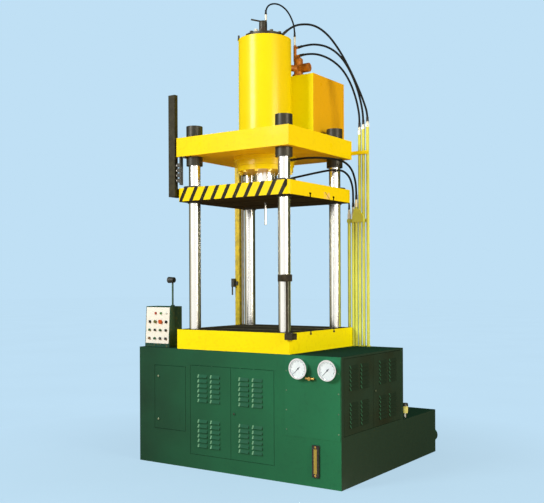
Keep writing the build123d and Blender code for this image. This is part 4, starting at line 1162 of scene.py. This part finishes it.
@dataclass
class Studio:
    """Plain floor, plain surroundings and soft lamps."""

    backdrop: Colour = (0.527, 0.745, 0.913)
    bounce: Colour = (0.80, 0.46, 0.20)
    ambient_colour: Colour = (1.0, 0.99, 0.97)
    ambient: float = 0.30
    gloss: float = 1.05
    floor_reach: float = 60.0
    paper: Cloud = Cloud(0.6, 3.0, 0.3, 0.7)
    paper_shade: float = 0.98
    paper_roughness: float = 0.95
    shadow_share: float = 0.22
    shadow_reach: Pair = (1.5, 3.4)
    lamps: tuple[Lamp, ...] = (
        Lamp("key_lamp", (-3.2, -8.6, 5.4), (0.0, 0.0, 1.9), 3.2, 700.0, (1.0, 0.99, 0.96)),
        Lamp("fill_lamp", (7.6, -1.5, 3.2), (0.0, 0.0, 1.7), 3.0, 400.0, (1.0, 0.92, 0.76)),
    )

    def floor_paper(self) -> Material:
        """Make the floor's finish.

        Returns:
            The backdrop's colour with a faint shadow near the press, and a warm bounce for its light.
        """
        shading = Shading("floor_paper")
        shade = tuple(self.paper_shade * share for share in self.backdrop)
        paper = shading.mix(shading.cloud(self.paper), self.backdrop, shade)
        rays = shading.add("LightPath", {}).outputs
        soft = rays["Is Diffuse Ray"]
        gloss = rays["Is Glossy Ray"]
        distance = shading.add("VectorMath", {0: shading.place}, operation="LENGTH").outputs["Value"]
        near = shading.between(distance, *self.shadow_reach, self.shadow_share, 0.0)
        shadowed = shading.mix(shading.times(near, rays["Is Camera Ray"]), (0.0, 0.0, 0.0), paper)
        shading.set(Base_Color=shading.mix(soft, shadowed, self.bounce))
        shading.set(Roughness=self.paper_roughness, Specular_IOR_Level=0.0)
        glow = shading.mix(gloss, paper, Reflected().colour(shading, shading.place))
        away = shading.calc(Step.MAXIMUM, gloss, shading.minus(1.0, near))
        plain = shading.times(shading.minus(1.0, soft), away)
        shading.set(Emission_Color=glow, Emission_Strength=plain)
        return shading.material

    def floor(self) -> None:
        """Lay the floor."""
        shape = bmesh.new()
        reach = self.floor_reach
        corners = ((-reach, -reach), (reach, -reach), (reach, reach), (-reach, reach))
        shape.faces.new([shape.verts.new((x, y, 0.0)) for x, y in corners])
        data = bpy.data.meshes.new("floor")
        shape.to_mesh(data)
        shape.free()
        data.materials.append(self.floor_paper())
        piece = placed("floor", data)

    def surroundings(self) -> None:
        """Light the world evenly, show the backdrop, and put bright and dark sides in gloss."""
        world = bpy.data.worlds.new("surroundings")
        bpy.context.scene.world = world
        world.use_nodes = True
        nodes = Nodes(world.node_tree)
        rays = nodes.add("LightPath", {}).outputs
        generated = nodes.add("TexCoord", {}).outputs["Generated"]
        reflected = Reflected().colour(nodes, generated)
        seen = nodes.calc(Step.MAXIMUM, rays["Is Camera Ray"], rays["Is Transmission Ray"])
        lights = (
            (1.0, self.ambient_colour, self.ambient),
            (rays["Is Glossy Ray"], reflected, self.gloss),
            (seen, self.backdrop, 1.0),
        )
        light: Socket | None = None
        for share, colour, strength in lights:
            other = nodes.add("Background", {"Color": colour, "Strength": strength}).outputs["Background"]
            if light is not None:
                other = nodes.add("MixShader", {"Fac": share, 1: light, 2: other}).outputs["Shader"]
            light = other
        nodes.add("OutputWorld", {"Surface": light})

    def build(self) -> None:
        """Set the stage."""
        self.floor()
        self.surroundings()
        for lamp in self.lamps:
            lamp.build()


@dataclass
class Viewpoint:
    """Camera at the photograph's own place."""

    place: Point = (4.0923, -5.9417, 1.5677)
    azimuth: float = 34.134
    roll: float = 0.246
    focal_px: float = 832.507
    width_px: float = 544.0
    sensor: float = 36.0
    shift_up: float = 0.0555
    sight: float = 200.0

    def build(self) -> None:
        """Make the camera and hand it to the scene."""
        data = bpy.data.cameras.new("camera")
        data.sensor_width = self.sensor
        data.lens = self.focal_px / self.width_px * self.sensor
        data.shift_y = self.shift_up
        data.clip_end = self.sight
        camera = placed("camera", data)
        turn = Matrix.Rotation(math.radians(self.azimuth), 4, "Z")
        level = Matrix.Rotation(math.radians(90.0), 4, "X")
        lean = Matrix.Rotation(-math.radians(self.roll), 4, "Z")
        camera.matrix_world = Matrix.Translation(self.place) @ turn @ level @ lean
        bpy.context.scene.camera = camera


# Sub-assemblies


@dataclass
class Assembly:
    """Part of the press's dressing, in finishes of one palette."""

    palette: Palette

    def build(self) -> None:
        """Make its pieces."""


@dataclass
class Hose:
    """One rubber hose between two fittings, with its crimped ferrules.

    The route is in millimetres, with heights over the crown's underside, and its first end rides on
    the body that start names. Outlines of nut and ferrule are in shares of the hose's radius.
    """

    node: str
    length: float
    radius: float
    start: Body
    route: Sequence[Point]
    ferrule: float = 0.042
    nut: float = 0.016
    sleeve_mouth: float = 1.05
    smoothness: int = 8
    roundness: int = 5
    tube_sides: int = 16
    nut_sides: int = 6
    sleeve_sides: int = 24
    nut_outline: tuple[Pair, ...] = ((0.9, 0.0), (1.42, 0.0005))
    crimps: int = 6
    crimp_outline: tuple[Pair, ...] = ((1.24, 0.0), (1.24, 0.6), (1.12, 0.7))

    def places(self) -> list[Vector]:
        """The route's points in metres."""
        datum = Vector((0.0, 0.0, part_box("crown")[0][2]))
        return [datum + Vector(point) / 1000 for point in self.route]

    def line(self) -> bpy.types.Object:
        """Lay a curve with no thickness along the route.

        Returns:
            The curve.
        """
        data = bpy.data.curves.new(self.node + "_line", "CURVE")
        data.dimensions = "3D"
        data.resolution_u = self.smoothness
        spline = data.splines.new("NURBS")
        spline.points.add(len(self.route) - 1)
        for point, place in zip(spline.points, self.places()):
            point.co = (*place, 1.0)
        spline.order_u = 3
        spline.use_endpoint_u = True
        return placed("rubber_" + self.node, data)

    def points(self, curve: bpy.types.Object) -> list[Vector]:
        """Trace the curve.

        Args:
            curve: the hose's curve.

        Returns:
            Points along its smooth line, from the first end on.
        """
        graph = bpy.context.evaluated_depsgraph_get()
        traced = bpy.data.meshes.new_from_object(curve.evaluated_get(graph))
        found = [vert.co.copy() for vert in traced.vertices]
        bpy.data.meshes.remove(traced)
        start = self.places()[0]
        if (found[0] - start).length > (found[-1] - start).length:
            found.reverse()
        return found

    def ferrules(self, path: list[Vector], palette: Palette) -> None:
        """Fit a crimped sleeve and a swivel nut to each end.

        Args:
            path: points along the hose.
            palette: the press's finishes.
        """
        r = self.radius
        step = (self.ferrule - self.nut) / self.crimps
        nut = [(r * wide, along) for wide, along in self.nut_outline]
        nut.append((nut[-1][0], self.nut))
        sleeve = [(r * self.sleeve_mouth, self.nut)]
        for crimp in range(self.crimps):
            low = self.nut + crimp * step
            sleeve += [(r * wide, low + step * along) for wide, along in self.crimp_outline]
        sleeve.append((r, self.ferrule))
        for index, (tip, inner) in enumerate(((path[0], path[1]), (path[-1], path[-2]))):
            shape = Shape(f"ferrule_{self.node}_{index + 1}")
            way = inner - tip
            shape.turned(nut, tip, way, self.nut_sides)
            shape.turned(sleeve, tip, way, self.sleeve_sides)
            body = Body.FRAME if index else self.start
            shape.finish(body, palette["black_plastic"], Slot.RUBBER)

    def build(self, palette: Palette) -> None:
        """Args:
            palette: the press's finishes.
        """
        curve = self.line()
        path = self.points(curve)
        if self.start is Body.FRAME:
            curve.data.bevel_depth = self.radius
            curve.data.bevel_resolution = self.roundness
            curve.data.use_fill_caps = True
            curve.data.materials.append(palette["hose_rubber"])
            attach(curve, Body.FRAME.value)
            piece = curve
        else:
            bpy.data.objects.remove(curve)
            shape = Shape("rubber_" + self.node)
            shape.swept(path, self.radius, self.tube_sides)
            piece = shape.finish(Body.FRAME, palette["hose_rubber"], Slot.RUBBER)
            piece.parent = None
            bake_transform(piece)
        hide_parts(self.node)
        self.ferrules(path, palette)
        LOG.info("%s with %d points", self.node, len(path))


@dataclass
class HoseSet(Assembly):
    """All hoses of the press."""

    thick: float = 0.009
    thin: float = 0.007

    def hoses(self) -> list[Hose]:
        """List the hoses; the last two go from the slide to the frame.

        Returns:
            The seven hoses.
        """
        return [
            Hose("hose_head_to_pipe", 1.266, self.thick, Body.FRAME, (
                (158, 61, 1072), (200, 95, 1121), (262, 150, 1156), (360, 232, 1154),
                (450, 308, 1076), (530, 372, 939), (600, 430, 774), (660, 480, 604),
                (702, 514, 464), (718, 527, 384), (718, 527, 322),
            )),
            Hose("hose_valve_to_pipe", 1.062, self.thick, Body.FRAME, (
                (151, 296, 1005), (210, 318, 1019), (300, 358, 1026), (405, 408, 994),
                (500, 450, 909), (575, 482, 774), (630, 506, 624), (662, 520, 484),
                (677, 527, 374), (677, 527, 300),
            )),
            Hose("hose_valve_lower", 0.965, self.thick, Body.FRAME, (
                (169, 298, 931), (225, 316, 941), (320, 362, 936), (420, 414, 886),
                (508, 458, 799), (572, 492, 674), (614, 514, 534), (636, 525, 414),
                (640, 527, 339), (640, 527, 280),
            )),
            Hose("hose_prefill_pilot", 0.550, self.thin, Body.FRAME, (
                (8, 5, 1246), (8, 5, 1296), (24, 48, 1348), (55, 130, 1366),
                (86, 215, 1332), (110, 268, 1254), (122, 290, 1172), (122, 290, 1101),
            )),
            Hose("hose_cylinder_lower", 0.922, self.thick, Body.FRAME, (
                (284, -40, -44), (340, -25, -38), (430, 15, -29), (515, 95, -27),
                (572, 210, -28), (600, 330, -40), (612, 435, -91), (608, 508, -186),
                (606, 527, -286), (606, 527, -351),
            )),
            Hose("hose_knockout_feed", 0.898, self.thick, Body.SLIDE, (
                (160, 52, -196), (210, 80, -181), (300, 145, -156), (395, 225, -128),
                (490, 292, -106), (552, 370, -104), (574, 455, -146), (576, 518, -236),
                (574, 527, -336), (574, 527, -416),
            )),
            Hose("hose_knockout_return", 0.814, self.thin, Body.SLIDE, (
                (20, 158, -225), (60, 205, -234), (135, 285, -242), (230, 385, -244),
                (320, 490, -242), (410, 555, -244), (490, 566, -280), (534, 527, -351),
                (534, 527, -436),
            )),
        ]

    def build(self) -> None:
        """Make every hose."""
        for hose in self.hoses():
            hose.build(self.palette)


@dataclass
class NodeFinishes(Assembly):
    """Which finish each node of the press takes."""

    by_finish: ClassVar[dict[str, Sequence[str]]] = {
        "yellow_enamel": ["crown", "gland_flange"],
        "cylinder_enamel": ["main_cylinder"],
        "tank_lit_and_shaded_enamel": ["upper_tank"],
        "head_bolts": ["cylinder_bolts"],
        "head_finish": ["cylinder_head"],
        "post_finish": ["switch_post"],
        "bolster_lit_finish": ["bolster"],
        "slide_finish": ["slide_plate"],
        "green_enamel": ["cabinet_shell", "oil_tank", "pump_unit"],
        "console_enamel": ["console_box"],
        "door_enamel": ["electric_door", "gauge_panel", *FRONT_LOUVRES.doors],
        "side_shaded_enamel": SIDE_LOUVRES.doors,
        "pipe_enamel": ["oil_pipes", "pipe_clamp"],
        "cream_enamel": ["console_panel"],
        "column_steel": ["columns"],
        "ram_steel": ["ram", "knockout_rod"],
        "nut_steel": ["column_nuts", "guide_bushes"],
        "gauge_chrome": ["gauge_cases"],
        "gauge_glass": ["gauge_glasses"],
        "switch_finish": ["limit_switches"],
        "work_lamp_finish": ["work_lamp"],
        "fitting_finish": ["pipe_fittings"],
        "prefill_finish": ["prefill_valve"],
        "valve_bronze": ["tank_valve"],
        "bar_olive": ["striker_bar"],
        "stop_iron": ["stop_collar"],
        "black_plastic": [
            f"{part}_{side}" for part in ("gauge_needle", "selector") for side in ("left", "right")
        ] + ["level_gauge"],
        "green_button": [f"push_button_{number}" for number in (1, 3, 6)],
        "black_button": [f"push_button_{number}" for number in (2, 4, 7, 8)],
        "brown_button": ["push_button_5"],
        "olive_button": ["start_button"],
        "mushroom_red": ["emergency_button"],
        "lamp_finish": ["pilot_lamps"],
        "breather_finish": ["breather"],
    }

    def build(self) -> None:
        """Give every node its finish."""
        for finish, nodes in self.by_finish.items():
            for node in nodes:
                piece = bpy.data.objects[node]
                if not piece.data.materials:
                    piece.data.materials.append(self.palette[finish])
                for place in piece.material_slots:
                    place.link = "OBJECT"
                    place.material = self.palette[finish]
                LOG.info("%s takes %s", node, finish)


@dataclass
class Gauges(Assembly):
    """Dials and scale marks of the two pressure gauges."""

    centres: Pair = (0.673, 0.932)
    height: float = 0.899
    dial_y: float = -0.5458
    radius: float = 0.069
    plate: float = 0.0006
    sweep: float = 270.0
    divisions: int = 50
    long_every: int = 5
    long_mark: Pair = (0.052, 0.0011)
    short_mark: Pair = (0.057, 0.0005)
    mark_end: float = 0.063
    mark_lift: float = 0.0007
    mark_depth: float = 0.0002
    sides: int = 72

    def dial(self, x: float, side: str) -> None:
        """Make one white dial plate.

        Args:
            x: the gauge's middle.
            side: which of the gauges it is.
        """
        shape = Shape(f"gauge_dial_{side}")
        outline = [(0.0, 0.0), (self.radius, 0.0), (self.radius, self.plate), (0.0, self.plate)]
        shape.turned(outline, Vector((x, self.dial_y, self.height)), TO_FRONT, self.sides)
        shape.finish(Body.FRAME, self.palette["dial_white"], Slot.CREAM)

    def ticks(self, x: float, side: str) -> None:
        """Make the scale marks round one dial, long at every fifth.

        Args:
            x: the gauge's middle.
            side: which of the gauges it is.
        """
        shape = Shape(f"gauge_ticks_{side}")
        back = self.dial_y - self.mark_lift
        for index in range(self.divisions + 1):
            angle = math.radians(self.sweep * (index / self.divisions - 0.5))
            turn = Matrix.Translation((x, 0.0, self.height)) @ Matrix.Rotation(angle, 4, "Y")
            start, half = self.short_mark if index % self.long_every else self.long_mark
            shape.block((-half, back - self.mark_depth, start), (half, back, self.mark_end), turn)
        shape.finish(Body.FRAME, self.palette["dial_ink"], Slot.BLACK)

    def build(self) -> None:
        """Dress both gauges."""
        for side, x in zip(("left", "right"), self.centres):
            self.dial(x, side)
            self.ticks(x, side)


@dataclass(frozen=True)
class Fastener:
    """Pan head of a screw with its rounded edge and driver recess, in shares of its radius and height."""

    radius: float
    height: float
    sunk: float = 0.0004
    foot: float = 0.96
    sides: int = 20
    rim: tuple[Pair, ...] = ((1.0, 0.35), (0.86, 0.8), (0.62, 1.0))
    recess: tuple[Pair, ...] = ((0.34, 1.0), (0.22, 0.45), (0.0, 0.4))

    def add(self, shape: Shape, place: Vector, out: Vector) -> None:
        """Add one head to a mesh.

        Args:
            shape: the mesh.
            place: middle of the face that it sits on.
            out: the way that it points.
        """
        foot = [(0.0, -self.sunk), (self.radius * self.foot, -self.sunk)]
        head = [(self.radius * wide, self.height * high) for wide, high in self.rim + self.recess]
        shape.turned(foot + head, place, out, self.sides)


@dataclass
class SightStrip(Assembly):
    """Oil column and two brass screws of the tank's level gauge."""

    half_width: float = 0.0135
    end_gap: float = 0.028
    proud: float = 0.0025
    sunk: float = 0.0002
    screw: Fastener = Fastener(0.009, 0.003)
    screw_inset: float = 0.014

    def build(self) -> None:
        """Make the strip and its screws."""
        low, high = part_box("level_gauge")
        middle = (low[0] + high[0]) / 2
        strip = Shape("sight_strip")
        near = (middle - self.half_width, low[1] - self.proud, low[2] + self.end_gap)
        far = (middle + self.half_width, low[1] + self.sunk, high[2] - self.end_gap)
        strip.block(near, far)
        strip.finish(Body.FRAME, self.palette["sight_oil"], Slot.BRASS)
        screws = Shape("sight_screws")
        for height in (low[2] + self.screw_inset, high[2] - self.screw_inset):
            self.screw.add(screws, Vector((middle, low[1], height)), TO_FRONT)
        screws.finish(Body.FRAME, self.palette["old_brass"], Slot.BRASS)


@dataclass
class PanelScrews(Assembly):
    """Small screws that hold the gauge panel to the cabinet."""

    screw: Fastener = Fastener(0.006, 0.0022)
    side_inset: float = 0.016
    low_inset: float = 0.05
    high_inset: float = 0.11
    rows: int = 4

    def build(self) -> None:
        """Make both columns of screws."""
        low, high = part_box("gauge_panel")
        shape = Shape("panel_screws")
        first = low[2] + self.low_inset
        step = (high[2] - self.high_inset - first) / (self.rows - 1)
        for x in (low[0] + self.side_inset, high[0] - self.side_inset):
            for row in range(self.rows):
                self.screw.add(shape, Vector((x, low[1], first + row * step)), TO_FRONT)
        shape.finish(Body.FRAME, self.palette["screw_green"], Slot.STEEL)


@dataclass
class DoorDress(Assembly):
    """Key cylinders in the locks of the doors, and the electric door's bare plate."""

    key_radius: float = 0.0085
    key_depth: float = 0.0016
    key_edge: float = 0.86
    key_side: float = 0.7
    key_sides: int = 24
    sunk: float = 0.0003
    bow_shares: Pair = (0.18, 0.62)
    bow_height: float = 0.0006
    bow_sunk: float = 0.0002
    electric_locks: tuple[Point, ...] = ((-0.785, -0.515, 0.383), (-0.785, -0.515, 0.755))
    front_lock: Point = (0.032, -0.515, 0.493)
    side_lock: Point = (1.035, 0.046, 0.6905)
    plate_low: Point = (-0.682, -0.5108, 0.371)
    plate_high: Point = (-0.544, -0.5098, 0.444)
    plate_screw: Fastener = Fastener(0.003, 0.001)
    plate_inset: float = 0.008

    def keys(self, door: Body, places: Sequence[Point], metal: Material) -> None:
        """Make the key cylinders of one door, each with a raised bow.

        Args:
            door: the door.
            places: middles of its locks' faces.
            metal: their finish.
        """
        shape = Shape(f"key_{door.value}")
        r = self.key_radius
        depth = self.key_depth
        outline = [(0.0, -self.sunk), (r, -self.sunk), (r, depth * self.key_side)]
        outline += [(r * self.key_edge, depth), (0.0, depth)]
        for place in places:
            start = Vector(place)
            shape.turned(outline, start, TO_FRONT, self.key_sides)
            half = Vector((r * self.bow_shares[0], 0.0, r * self.bow_shares[1]))
            face = start + depth * TO_FRONT
            low = face - half + self.bow_height * TO_FRONT
            shape.block(low, face + half - self.bow_sunk * TO_FRONT)
        shape.finish(door, metal, Slot.STEEL)

    def side_key(self, metal: Material) -> None:
        """Make the round key cylinder of the rear side door.

        Args:
            metal: its finish.
        """
        shape = Shape(f"key_{Body.SIDE_DOOR_REAR.value}")
        Fastener(self.key_radius, self.key_depth).add(shape, Vector(self.side_lock), TO_RIGHT)
        shape.finish(Body.SIDE_DOOR_REAR, metal, Slot.STEEL)

    def plate(self, paint: Material) -> None:
        """Make the electric door's plate with its two screws.

        Args:
            paint: its finish.
        """
        shape = Shape("electric_door_plate")
        shape.block(self.plate_low, self.plate_high)
        middle = (self.plate_low[2] + self.plate_high[2]) / 2
        for x in (self.plate_low[0] + self.plate_inset, self.plate_high[0] - self.plate_inset):
            self.plate_screw.add(shape, Vector((x, self.plate_low[1], middle)), TO_FRONT)
        shape.finish(Body.ELECTRIC_DOOR, paint, Slot.GREEN)

    def build(self) -> None:
        """Make the keys and the plate."""
        self.keys(Body.ELECTRIC_DOOR, self.electric_locks, self.palette["lock_zinc"])
        self.keys(Body.FRONT_DOOR_RIGHT, [self.front_lock], self.palette["nut_steel"])
        self.side_key(self.palette["lock_zinc"])
        self.plate(self.palette["door_enamel"])


# Whole press


def main() -> None:
    logging.basicConfig(level=logging.INFO, format="%(name)s: %(message)s")
    bpy.context.scene.view_settings.view_transform = "Standard"
    Viewpoint().build()
    palette = Palette()
    palette.mix_all()
    for assembly in (HoseSet, NodeFinishes, Gauges, SightStrip, PanelScrews, DoorDress):
        assembly(palette).build()
        LOG.info("%s done", assembly.__name__)
    Studio().build()


if __name__ == "__main__":
    main()
